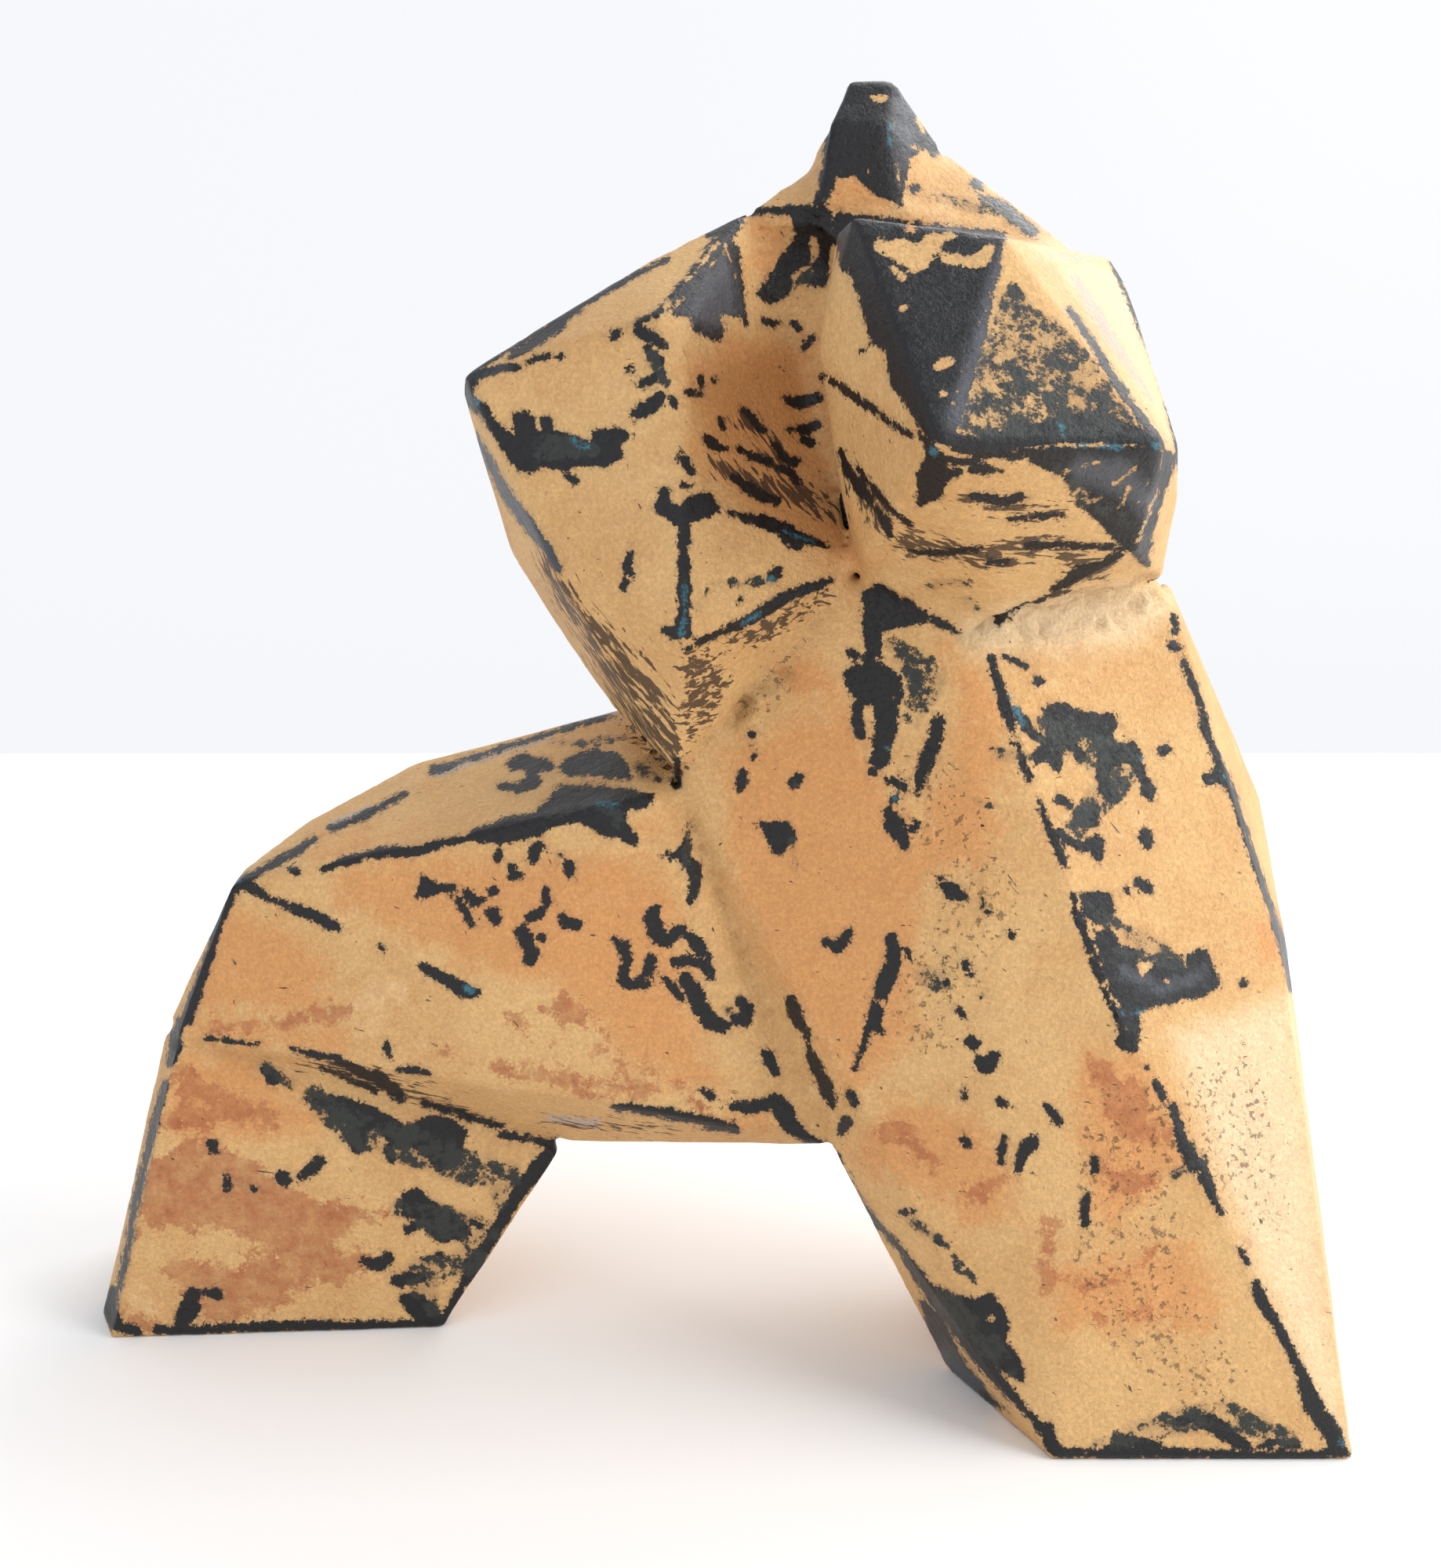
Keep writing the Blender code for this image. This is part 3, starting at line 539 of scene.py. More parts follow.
rustStains = {
    "shinBig": [(172, 1540), (184, 1480), (230, 1455), (290, 1460), (330, 1482), (352, 1512), (400, 1522),
                (450, 1536), (500, 1534), (500, 1556), (462, 1562), (432, 1590), (484, 1602), (470, 1622),
                (450, 1642), (400, 1642), (382, 1652), (350, 1672), (312, 1690), (260, 1690), (232, 1652),
                (210, 1620), (240, 1600), (290, 1612), (342, 1604), (300, 1574), (230, 1568), (172, 1572)],
    "shinToe": [(168, 1680, 12), (190, 1690, 8)],
    "shinUpper": [(225, 1372, 12), (280, 1400, 16), (340, 1430, 14)],
    "thighStain": [(716, 1284, 16), (736, 1294, 18), (720, 1300, 12)],
    "thighStainLeft": [(664, 1306, 12)],
    "thighStainLow": [(708, 1336, 9)],
    "thighStainSide": [(765, 1318, 8), (762, 1340, 8)],
    "thighDotOne": [(652, 1376, 7)],
    "thighDotTwo": [(736, 1366, 6)],
    "thighDotThree": [(600, 1352, 4)],
    "thighDotFour": [(568, 1340, 4), (576, 1359, 4)],
    "thighDotFive": [(790, 1352, 4), (796, 1368, 5)],
    "thighDotSix": [(832, 1366, 9)],
    "thighEdge": [(758, 1392, 9), (785, 1398, 9)],
    "thighEdgeTwo": [(830, 1388, 9)],
    "thighEdgeThree": [(868, 1390, 7), (888, 1408, 8), (904, 1420, 8)],
    "legCrown": [(1396, 1352, 8), (1420, 1380, 20), (1436, 1410, 30), (1452, 1440, 22), (1490, 1450, 10)],
    "legCrownLow": [(1400, 1490, 8), (1450, 1510, 12), (1500, 1500, 8)],
    "legStreak": [(1338, 1560, 6), (1334, 1600, 10), (1338, 1636, 8)],
    "legBand": [(1380, 1640, 6), (1430, 1626, 9), (1470, 1600, 6)],
    "legBandLow": [(1400, 1680, 8), (1450, 1670, 7), (1490, 1690, 6)],
    "legInner": [(1110, 1430, 8), (1150, 1450, 12), (1190, 1490, 8)],
    "legInnerLow": [(1200, 1530, 6), (1250, 1524, 12), (1286, 1500, 6)],
    "thighScatter": [(600, 1350, 4), (660, 1370, 10), (740, 1380, 14), (820, 1390, 12)],
    "shinScatter": [(240, 1390, 14), (300, 1420, 20), (200, 1430, 12)],
    "thighSide": [(440, 1290, 8), (400, 1300, 10), (330, 1310, 12), (270, 1310, 10)],
    "legEdge": [(1596, 1580, 4), (1602, 1606, 4)],
}
# orange and brown stains; in the chest hollow partly painted shade, and on the chest below the forearm
# painted shade
orangeStainsAndShade = {
    "shinTop": [(232, 1345), (300, 1338), (340, 1370), (380, 1402), (432, 1420), (402, 1452), (300, 1462),
                (220, 1452), (204, 1420)],
    "creaseBand": [(240, 1296), (300, 1296), (380, 1306), (442, 1320), (430, 1342), (330, 1336),
                   (234, 1330)],
    "kneeFront": [(262, 1160), (330, 1158), (380, 1200), (420, 1240), (400, 1290), (320, 1290),
                  (248, 1284)],
    "thighFront": [(420, 1110), (520, 1096), (640, 1100), (820, 1090), (860, 1150), (900, 1330),
                   (940, 1390), (860, 1390), (700, 1260), (600, 1230), (520, 1200), (440, 1160)],
    "thighTop": [(400, 1082, 8), (460, 1070, 8), (520, 1068, 6)],
    "thighSun": [(822, 1054, 10)],
    "legMiddle": [(1372, 1340), (1452, 1345), (1486, 1390), (1520, 1480), (1480, 1520), (1420, 1560),
                  (1390, 1540), (1376, 1440)],
    "legLow": [(1348, 1620), (1420, 1600), (1520, 1590), (1560, 1660), (1540, 1700), (1440, 1690),
               (1350, 1694)],
    "legInner": [(1086, 1450), (1150, 1405), (1230, 1425), (1290, 1480), (1302, 1550), (1232, 1562),
                 (1150, 1512), (1100, 1500)],
    "legOuter": [(1590, 1180), (1636, 1160), (1646, 1240), (1600, 1240)],
    "legOuterLow": [(1640, 1670, 12), (1670, 1690, 10), (1672, 1600, 8)],
    "headBase": [(1062, 226), (1092, 222), (1112, 240), (1122, 262), (1052, 266)],
    "ballSun": [(1162, 289, 10)],
    "lowEdgeSalmon": [(930, 1436, 8), (956, 1428, 10), (972, 1438, 8)],
    "hollow": [(872, 470), (930, 420), (1036, 440), (1046, 560), (1080, 650), (1098, 724), (1040, 694),
               (950, 650), (900, 600)],
    "chestRight": [(1210, 830), (1262, 846), (1290, 960), (1262, 1090), (1180, 1120), (1150, 1080),
                   (1200, 1000), (1224, 900)],
    "collar": [(960, 280), (1005, 280), (985, 340), (950, 350)],
    "chestMiddle": [(930, 960), (1080, 900), (1180, 1080), (1170, 1330), (1080, 1400), (990, 1250),
                    (920, 1100)],
    "chestHigh": [(1010, 860, 20), (1060, 880, 20)],
}
turquoiseTouches = {
    "rim": [(606, 512, 6)],
    "patchSheen": [(728, 558, 4), (746, 570, 6)],
    "barVein": [(874, 745, 3), (874, 790, 3), (868, 808, 6)],
    "bruise": [(984, 740, 7)],
    "keelVein": [(948, 796, 3), (970, 784, 3)],
    "wedgeVein": [(1000, 676, 3), (1040, 690, 2.5)],
    "headEdge": [(1138, 160, 5), (1136, 186, 3)],
    "ballCorner": [(1190, 577, 8)],
    "ballVein": [(1348, 530, 2), (1362, 556, 3)],
    "ballRidge": [(1376, 568, 4), (1432, 572, 4)],
    "ballRight": [(1476, 568, 7)],
    "legRidge": [(1290, 884, 4), (1298, 906, 5), (1306, 924, 3)],
    "massTouch": [(1456, 968, 4)],
    "starTouch": [(1130, 955, 3)],
    "dotTouch": [(1140, 1018, 5)],
    "bootVein": [(1436, 1290, 5), (1452, 1292, 3), (1500, 1277, 2)],
    "spearTouch": [(597, 1262, 7)],
    "tendonTouch": [(762, 1022, 4), (784, 1026, 5)],
    "kneeTouch": [(302, 1122, 4)],
    "fanTouch": [(1564, 992, 4)],
    "heelTouch": [(1712, 1842, 6)],
    "mottleTouch": [(1014, 1106, 6)],
}
# painted highlights on the light-struck strips in pale cream, and painted grey sheen beside them
paintedHighlightStrips = {
    "ballSliver": [(1330, 312), (1440, 336), (1470, 440), (1506, 560), (1494, 560), (1450, 480),
                   (1400, 396)],
    "hipRoll": [(1250, 812, 16), (1300, 800, 22), (1360, 796, 30), (1430, 786, 34), (1470, 770, 22)],
    "legLow": [(1500, 1320), (1650, 1270), (1716, 1850), (1640, 1690), (1560, 1500)],
}
# painted sheen: pale grey reflections on the ball's lit strips and along the thigh's edges
paintedGreySheen = {
    "sliver": [(1372, 352, 6), (1390, 380, 8), (1416, 425, 9), (1446, 468, 5), (1474, 512, 3)],
    "sliverEdge": [(1440, 345, 3), (1466, 400, 3), (1486, 470, 2)],
    "ballTop": [(1340, 322, 4), (1400, 330, 4)],
    "thighBack": [(560, 984, 6), (620, 962, 5), (700, 938, 4)],
    "kneeBack": [(424, 1050, 5), (470, 1030, 5)],
    "thighUnder": [(700, 1428, 5), (760, 1434, 6)],
}
# painted reflections: slate grey laid over the black where it mirrors the light; on the right leg's inner
# side it is painted shade
paintedSlateSheen = {
    "ballBand": [(1278, 322, 8), (1266, 370, 10), (1254, 425, 12), (1238, 480, 12), (1220, 535, 12)],
    "triangle": [(868, 396), (895, 352), (925, 325), (940, 345), (946, 400), (926, 420), (900, 420)],
    "strip": [(606, 560, 7), (620, 586, 9), (636, 620, 10), (656, 650, 13), (680, 682, 11), (700, 704, 10),
              (712, 730, 7)],
    "headSide": [(1154, 130, 8), (1162, 165, 10), (1158, 200, 6)],
    "ballUnder": [(1380, 600, 16), (1430, 610, 24), (1460, 640, 16)],
    "ballSliver": [(1360, 335, 8), (1395, 350, 8), (1430, 440, 6)],
    "boot": [(1436, 1240, 8), (1484, 1262, 6), (1535, 1240, 6)],
    "thighMottle": [(836, 980, 14)],
    "innerSide": [(1200, 1730, 14), (1240, 1770, 10)],
    "neck": [(612, 482, 5), (640, 470, 4)],
}
crumblyPlaces = {
    "hipRoll": [(1240, 814, 16), (1290, 800, 22), (1350, 790, 30), (1420, 774, 32), (1472, 752, 22)],
    "chestSeam": [(1000, 860, 14), (960, 890, 12), (930, 930, 10)],
}
lumpyPlaces = {
    "chestSide": [(1180, 1000, 60), (1250, 1150, 60), (1180, 1300, 60)],
    "legFront": [(1440, 1450, 80), (1440, 1650, 80), (1540, 1760, 60)],
    "legRight": [(1560, 1400, 70), (1610, 1540, 50)],
    "shoulderUnder": [(1000, 850, 30), (950, 930, 30)],
}


tiny = 1e-9      # keeps a division by nothing harmless
farOff = 1e3     # pixels, more than any mark spans


def fromLine(pixels, ax, ay, bx, by):
    # how far each pixel lies from the line between two points, and its share of the way along
    start, along = np.array([ax, ay], float), np.array([bx - ax, by - ay], float)
    share = np.clip((pixels - start) @ along / max(along @ along, tiny), 0.0, 1.0)
    return np.linalg.norm(pixels - start - share[:, None] * along, axis=1), share


def strokeDepth(pixels, stroke):
    # how deep each pixel lies inside a brush stroke; negative outside it
    best = np.full(len(pixels), -farOff)
    ends = stroke[1:] if len(stroke) > 1 else stroke
    for (ax, ay, ar), (bx, by, br) in zip(stroke, ends):
        gap, share = fromLine(pixels, ax, ay, bx, by)
        best = np.maximum(best, ar + (br - ar) * share - gap)
    return best


def patchDepth(pixels, corners):
    # the same for a closed patch
    inside = np.zeros(len(pixels), bool)
    nearest = np.full(len(pixels), farOff)
    for (ax, ay), (bx, by) in zip(corners, corners[1:] + corners[:1]):
        gap, _ = fromLine(pixels, ax, ay, bx, by)
        nearest = np.minimum(nearest, gap)
        crosses = (ay > pixels[:, 1]) != (by > pixels[:, 1])
        rise = by - ay if by != ay else tiny
        inside ^= crosses & (pixels[:, 0] < (bx - ax) * (pixels[:, 1] - ay) / rise + ax)
    return np.where(inside, nearest, -nearest)


markReach = 14.0    # pixels past which a mark is no longer felt
softReach = 45.0    # the same for stains that fade out


def markField(pixels, *groups, reach=markReach):
    field = np.full(len(pixels), -reach)
    for group in groups:
        for shape in group.values():
            spots = np.array(shape, float)
            pad = reach + (spots[:, 2].max() if spots.shape[1] == 3 else 0.0)
            low, high = spots[:, :2].min(0) - pad, spots[:, :2].max(0) + pad
            near = np.all((pixels > low) & (pixels < high), axis=1)
            if near.any():
                depth = strokeDepth if spots.shape[1] == 3 else patchDepth
                field[near] = np.maximum(field[near], depth(pixels[near], shape))
    return np.clip(field, -reach, reach)


blackGroups = (
    shoulderWearAndShadow, hollowWear, starWear, headWear, ballWear, chestWear,
    rightLegWearAndShade, leftThighWear, leftShinWear,
)
# what else the finish reads: its marks, and how far they are felt
wearMaps = {
    "dryBrush": (dryBrush, markReach),
    "steepStreaks": (steepStreaks, markReach),
    "levelStreaks": (levelStreaks, markReach),
    "turquoise": (turquoiseTouches, markReach),
    "grey": (paintedGreySheen, markReach),
    "rust": (rustStains, softReach),
    "orange": (orangeStainsAndShade, softReach),
    "slate": (paintedSlateSheen, softReach),
    "pale": (paintedHighlightStrips, softReach),
}


def blackField(pixels):
    return np.minimum(markField(pixels, *blackGroups), -markField(pixels, ochreIslandsAndGlint))


# the figure: one casting, its facets cut finely enough to carry the wear
figureSettings = {
    "node": "tai_chi_figure",
    "slot": "patinated_bronze",
    "gridDepth": 8,
    "gridScale": 0.60,
    "mergeWithin": 1e-6,
    "sliverWithin": 2e-5,
    "outlineReach": 5.0,
    "outlineFacing": 0.05,
    "sharpTurn": 0.93,
    "creaseBend": 50.0,
    "creaseWidth": 3,
    "creasePull": 3.0,
    "creaseRounds": 26,
    "ridgeBend": 200.0,
    "ridgeHold": 1.5,
    "pitPlace": (0.0342, -0.0095, 0.1890),
    "pitReach": 0.0088,
    "pitRim": 0.002,
    "pitRounds": 120,
    "waveHeight": 0.0009,
    "waveSize": 62.0,
    "lumpHeight": 0.0024,
    "lumpSize": 230.0,
    "lumpStart": 0.62,
    "lumpFull": 0.40,
    "lumpyShare": 0.22,
    "lumpyFade": 20.0,
    "crumblyFade": 10.0,
    "seed": 7.0,
    "seenFacing": -0.15,
    "seenLift": 0.0006,
    "seenAhead": 0.0008,
    "seenFadeFrom": 0.12,
    "seenFade": 0.2,
    "edgeWearBend": 260.0,
    "creaseShadeBend": 90.0,
    "creaseShadeRounds": 6,
    "settleMargin": 0.004,
    "mostTriangles": 197000,
}


def mergedCopy(settings):
    shell = bmesh.new()
    shell.from_mesh(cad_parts[settings["node"]].data)
    bmesh.ops.remove_doubles(shell, verts=shell.verts, dist=settings["mergeWithin"])
    bmesh.ops.dissolve_degenerate(shell, edges=shell.edges, dist=settings["sliverWithin"])
    bmesh.ops.triangulate(shell, faces=shell.faces)
    return shell


def evenGrid(shell, settings):
    # an even grid of small faces whose rows follow the edges of the facets
    mesh = bpy.data.meshes.new("shell")
    shell.to_mesh(mesh)
    holder = bpy.data.objects.new("shell", mesh)
    bpy.context.scene.collection.objects.link(holder)
    grid = holder.modifiers.new("grid", "REMESH")
    grid.mode = "SHARP"
    grid.octree_depth = settings["gridDepth"]
    grid.scale = settings["gridScale"]
    grid.sharpness = 1.0
    fine = bpy.data.meshes.new_from_object(holder.evaluated_get(bpy.context.evaluated_depsgraph_get()))
    bpy.data.objects.remove(holder)
    even = bmesh.new()
    even.from_mesh(fine)
    bpy.data.meshes.remove(fine)
    return even


def settleOn(surface, shell):
    for vertex in shell.verts:
        vertex.co = surface.find_nearest(vertex.co)[0]


def facetedFinely(settings):
    shell = mergedCopy(settings)
    surface = BVHTree.FromBMesh(shell)
    even = evenGrid(shell, settings)
    shell.free()
    settleOn(surface, even)
    even.normal_update()
    print("even grid", len(even.faces), "faces")
    places = np.array([v.co for v in even.verts], float).reshape(-1, 3)
    normals = np.array([v.normal for v in even.verts], float).reshape(-1, 3)
    toCamera = np.array(photoCamera["place"]) - places
    facing = np.einsum("ij,ij->i", normals, toCamera) / np.linalg.norm(toCamera, axis=1)
    black = blackField(photoPixels(places))
    busy = (facing > settings["outlineFacing"]) & (np.abs(black) < settings["outlineReach"])
    even.verts.index_update()
    chosen = []
    for face in even.faces:
        turned = min(face.normal.dot(v.normal) for v in face.verts) < settings["sharpTurn"]
        if turned or sum(busy[v.index] for v in face.verts) > 2:
            chosen.append(face)
    room = (settings["mostTriangles"] - 2 * len(even.faces)) // 8
    print("finer faces wanted", len(chosen), "room for", room)
    edges = {edge for face in chosen[:room] for edge in face.edges}
    bmesh.ops.subdivide_edges(even, edges=list(edges), cuts=1, use_grid_fill=True)
    settleOn(surface, even)
    bmesh.ops.triangulate(even, faces=even.faces)
    mesh = bpy.data.meshes.new("taiChiFigure")
    even.to_mesh(mesh)
    even.free()
    mesh.shade_smooth()
    print("cut into", len(mesh.polygons), "triangles")
    return mesh


def meshArrays(mesh):
    places = np.zeros(len(mesh.vertices) * 3)
    mesh.vertices.foreach_get("co", places)
    normals = np.zeros(len(mesh.vertices) * 3)
    mesh.vertex_normals.foreach_get("vector", normals)
    edges = np.zeros(len(mesh.edges) * 2, np.int64)
    mesh.edges.foreach_get("vertices", edges)
    return places.reshape(-1, 3), normals.reshape(-1, 3), edges.reshape(-1, 2)


def spread(values, edges, rounds):
    # each vertex takes the average of itself and its neighbours
    first, second = edges[:, 0], edges[:, 1]
    ones = np.ones(len(edges))
    size = len(values)
    count = np.bincount(first, ones, size) + np.bincount(second, ones, size) + 1.0
    for _ in range(rounds):
        total = np.bincount(first, values[second], size) + np.bincount(second, values[first], size)
        values = (total + values) / count
    return values


def bendOfSurface(places, normals, edges):
    # positive on outer edges, negative in creases
    ahead = places[edges[:, 1]] - places[edges[:, 0]]
    length = np.linalg.norm(ahead, axis=1) + tiny
    turn = np.einsum("ij,ij->i", normals[edges[:, 1]] - normals[edges[:, 0]], ahead) / length**2
    size = len(places)
    count = np.bincount(edges[:, 0], minlength=size) + np.bincount(edges[:, 1], minlength=size)
    total = np.bincount(edges[:, 0], turn, size) + np.bincount(edges[:, 1], turn, size)
    return spread(total / np.maximum(count, 1), edges, 2)


def relax(places, edges, pull, rounds):
    # each vertex drifts towards its neighbours, as far as its pull lets it
    for _ in range(rounds):
        softer = np.stack([spread(places[:, axis], edges, 1) for axis in range(3)], axis=1)
        places = places + pull[:, None] * (softer - places)
    return places


def softenCreases(mesh, settings):
    # creases softened, as if clay had been pressed into them
    places, normals, edges = meshArrays(mesh)
    bend = bendOfSurface(places, normals, edges)
    hollow = spread(np.clip(-bend / settings["creaseBend"], 0.0, 1.0), edges, settings["creaseWidth"])
    ridge = spread(np.clip(bend / settings["ridgeBend"], 0.0, 1.0), edges, 1)
    free = np.clip(1.0 - ridge * settings["ridgeHold"], 0.0, 1.0)
    pull = np.clip(hollow * settings["creasePull"], 0.0, 1.0) * free
    places = relax(places, edges, pull, settings["creaseRounds"])
    # the one deep pit, where the creases of the chest meet, is filled level
    pit = np.linalg.norm(places - np.array(settings["pitPlace"]), axis=1)
    pull = np.clip((settings["pitReach"] - pit) / settings["pitRim"], 0.0, 1.0)
    places = relax(places, edges, pull, settings["pitRounds"])
    mesh.vertices.foreach_set("co", places.ravel())
    mesh.update()


def seenFromCamera(mesh, places, normals, settings):
    camera = Vector(photoCamera["place"])
    tree = BVHTree.FromPolygons([v.co for v in mesh.vertices], [p.vertices for p in mesh.polygons])
    toCamera = np.array(camera) - places
    facing = np.einsum("ij,ij->i", normals, toCamera) / np.linalg.norm(toCamera, axis=1)
    seen = np.zeros(len(places))
    for i in np.nonzero(facing > settings["seenFacing"])[0]:
        start = Vector(places[i]) + Vector(normals[i]) * settings["seenLift"]
        way = (camera - start).normalized()
        seen[i] = tree.ray_cast(start + way * settings["seenAhead"], way)[0] is None
    return seen * np.clip((facing + settings["seenFadeFrom"]) / settings["seenFade"], 0.0, 1.0)


def writeAttribute(mesh, name, values):
    mesh.attributes.new(name, "FLOAT", "POINT").data.foreach_set("value", np.asarray(values, np.float32))


def addWearAttributes(mesh, settings):
    places, normals, edges = meshArrays(mesh)
    pixels = photoPixels(places)
    seen = spread(seenFromCamera(mesh, places, normals, settings), edges, 2)
    bend = bendOfSurface(places, normals, edges)
    low, high = places.min(0), places.max(0)
    margin = np.minimum(places - low, high - places).min(1)
    marked = np.clip(seen * 2.0, 0.0, 1.0)
    fields = {"blackWearAndShadow": (blackField(pixels), markReach)}
    for name, (marks, reach) in wearMaps.items():
        fields[name] = (markField(pixels, marks, reach=reach), reach)
    for name, (values, reach) in fields.items():
        writeAttribute(mesh, name, (values + reach) * marked - reach)
    writeAttribute(mesh, "seen", seen)
    lumpy = markField(pixels, lumpyPlaces, reach=softReach) / settings["lumpyFade"]
    writeAttribute(mesh, "lumpy", np.clip(lumpy, 0.0, 1.0) * seen)
    crumbly = markField(pixels, crumblyPlaces) / settings["crumblyFade"]
    writeAttribute(mesh, "crumbly", np.clip(crumbly, 0.0, 1.0) * seen)
    writeAttribute(mesh, "edgeWear", np.clip(bend / settings["edgeWearBend"], 0.0, 1.0))
    # darker brown in the creases: partly patina gathered in the hollows, partly painted shade
    shade = np.clip(-bend / settings["creaseShadeBend"], 0.0, 1.0)
    writeAttribute(mesh, "crease", spread(shade, edges, settings["creaseShadeRounds"]))
    writeAttribute(mesh, "settle", np.clip(margin / settings["settleMargin"], 0.0, 1.0))
    print("wear attributes on", len(mesh.vertices), "vertices")


def wire(tree, source, target):
    tree.links.new(source, target)


def addNode(tree, kind, place=(0, 0), **values):
    node = tree.nodes.new(kind)
    node.location = place
    for name, value in values.items():
        setattr(node, name, value)
    return node


def sums(tree, operation, first, second, third=None):
    node = addNode(tree, "ShaderNodeMath", operation=operation)
    for socket, value in zip(node.inputs, (first, second, third)):
        if value is None:
            continue
        if isinstance(value, (int, float)):
            socket.default_value = value
        else:
            wire(tree, value, socket)
    return node.outputs[0]


def handWorkedSkin(settings, finish):
    # low waves and lumps left by the hand in the clay, cut inwards so that the figure keeps its size
    tree = bpy.data.node_groups.new("handWorkedSkin", "GeometryNodeTree")
    tree.interface.new_socket("Figure", in_out="INPUT", socket_type="NodeSocketGeometry")
    sizes = {
        "Wave height": "waveHeight",
        "Wave size": "waveSize",
        "Lump height": "lumpHeight",
        "Lump size": "lumpSize",
        "Seed": "seed",
    }
    sockets = {}
    for label, key in sizes.items():
        socket = tree.interface.new_socket(label, in_out="INPUT", socket_type="NodeSocketFloat")
        sockets[label] = (socket, settings[key])
    socket = tree.interface.new_socket("Finish", in_out="INPUT", socket_type="NodeSocketMaterial")
    sockets["Finish"] = (socket, finish)
    tree.interface.new_socket("Figure", in_out="OUTPUT", socket_type="NodeSocketGeometry")
    start = addNode(tree, "NodeGroupInput", (-900, 0))
    end = addNode(tree, "NodeGroupOutput", (900, 0))

    def noiseFrom(sizeLabel, detail):
        noise = addNode(tree, "ShaderNodeTexNoise", (-600, 200), noise_dimensions="4D")
        noise.inputs["Detail"].default_value = detail
        wire(tree, start.outputs[sizeLabel], noise.inputs["Scale"])
        wire(tree, start.outputs["Seed"], noise.inputs["W"])
        return noise.outputs[0]

    def attribute(name):
        node = addNode(tree, "GeometryNodeInputNamedAttribute", (-600, -200), data_type="FLOAT")
        node.inputs["Name"].default_value = name
        return node.outputs["Attribute"]

    waves = sums(tree, "MULTIPLY", noiseFrom("Wave size", 2.0), start.outputs["Wave height"])
    bumps = addNode(tree, "ShaderNodeMapRange", (-400, 0))
    wire(tree, noiseFrom("Lump size", 4.0), bumps.inputs["Value"])
    bumps.inputs["From Min"].default_value = settings["lumpStart"]
    bumps.inputs["From Max"].default_value = settings["lumpFull"]
    lumps = sums(tree, "MULTIPLY", bumps.outputs[0], start.outputs["Lump height"])
    share = sums(tree, "MULTIPLY_ADD", attribute("lumpy"), settings["lumpyShare"], attribute("crumbly"))
    lumps = sums(tree, "MULTIPLY", lumps, share)
    depth = sums(tree, "MULTIPLY", sums(tree, "ADD", waves, lumps), attribute("settle"))
    depth = sums(tree, "MULTIPLY", depth, -1.0)
    offset = addNode(tree, "ShaderNodeVectorMath", (200, 0), operation="SCALE")
    wire(tree, addNode(tree, "GeometryNodeInputNormal", (0, -200)).outputs[0], offset.inputs[0])
    wire(tree, depth, offset.inputs["Scale"])
    move = addNode(tree, "GeometryNodeSetPosition", (400, 0))
    wire(tree, start.outputs["Figure"], move.inputs["Geometry"])
    wire(tree, offset.outputs[0], move.inputs["Offset"])
    real = addNode(tree, "GeometryNodeRealizeInstances", (560, 0))
    wire(tree, move.outputs[0], real.inputs[0])
    paint = addNode(tree, "GeometryNodeSetMaterial", (720, 0))
    wire(tree, real.outputs[0], paint.inputs["Geometry"])
    wire(tree, start.outputs["Finish"], paint.inputs["Material"])
    wire(tree, paint.outputs[0], end.inputs[0])
    return tree, {socket.identifier: value for socket, value in sockets.values()}


def linear(red, green, blue):
    # a colour picked on the screen, as the shader wants it
    parts = [c / 255 for c in (red, green, blue)]
    return tuple(c / 12.92 if c <= 0.04045 else ((c + 0.055) / 1.055) ** 2.4 for c in parts) + (1.0,)


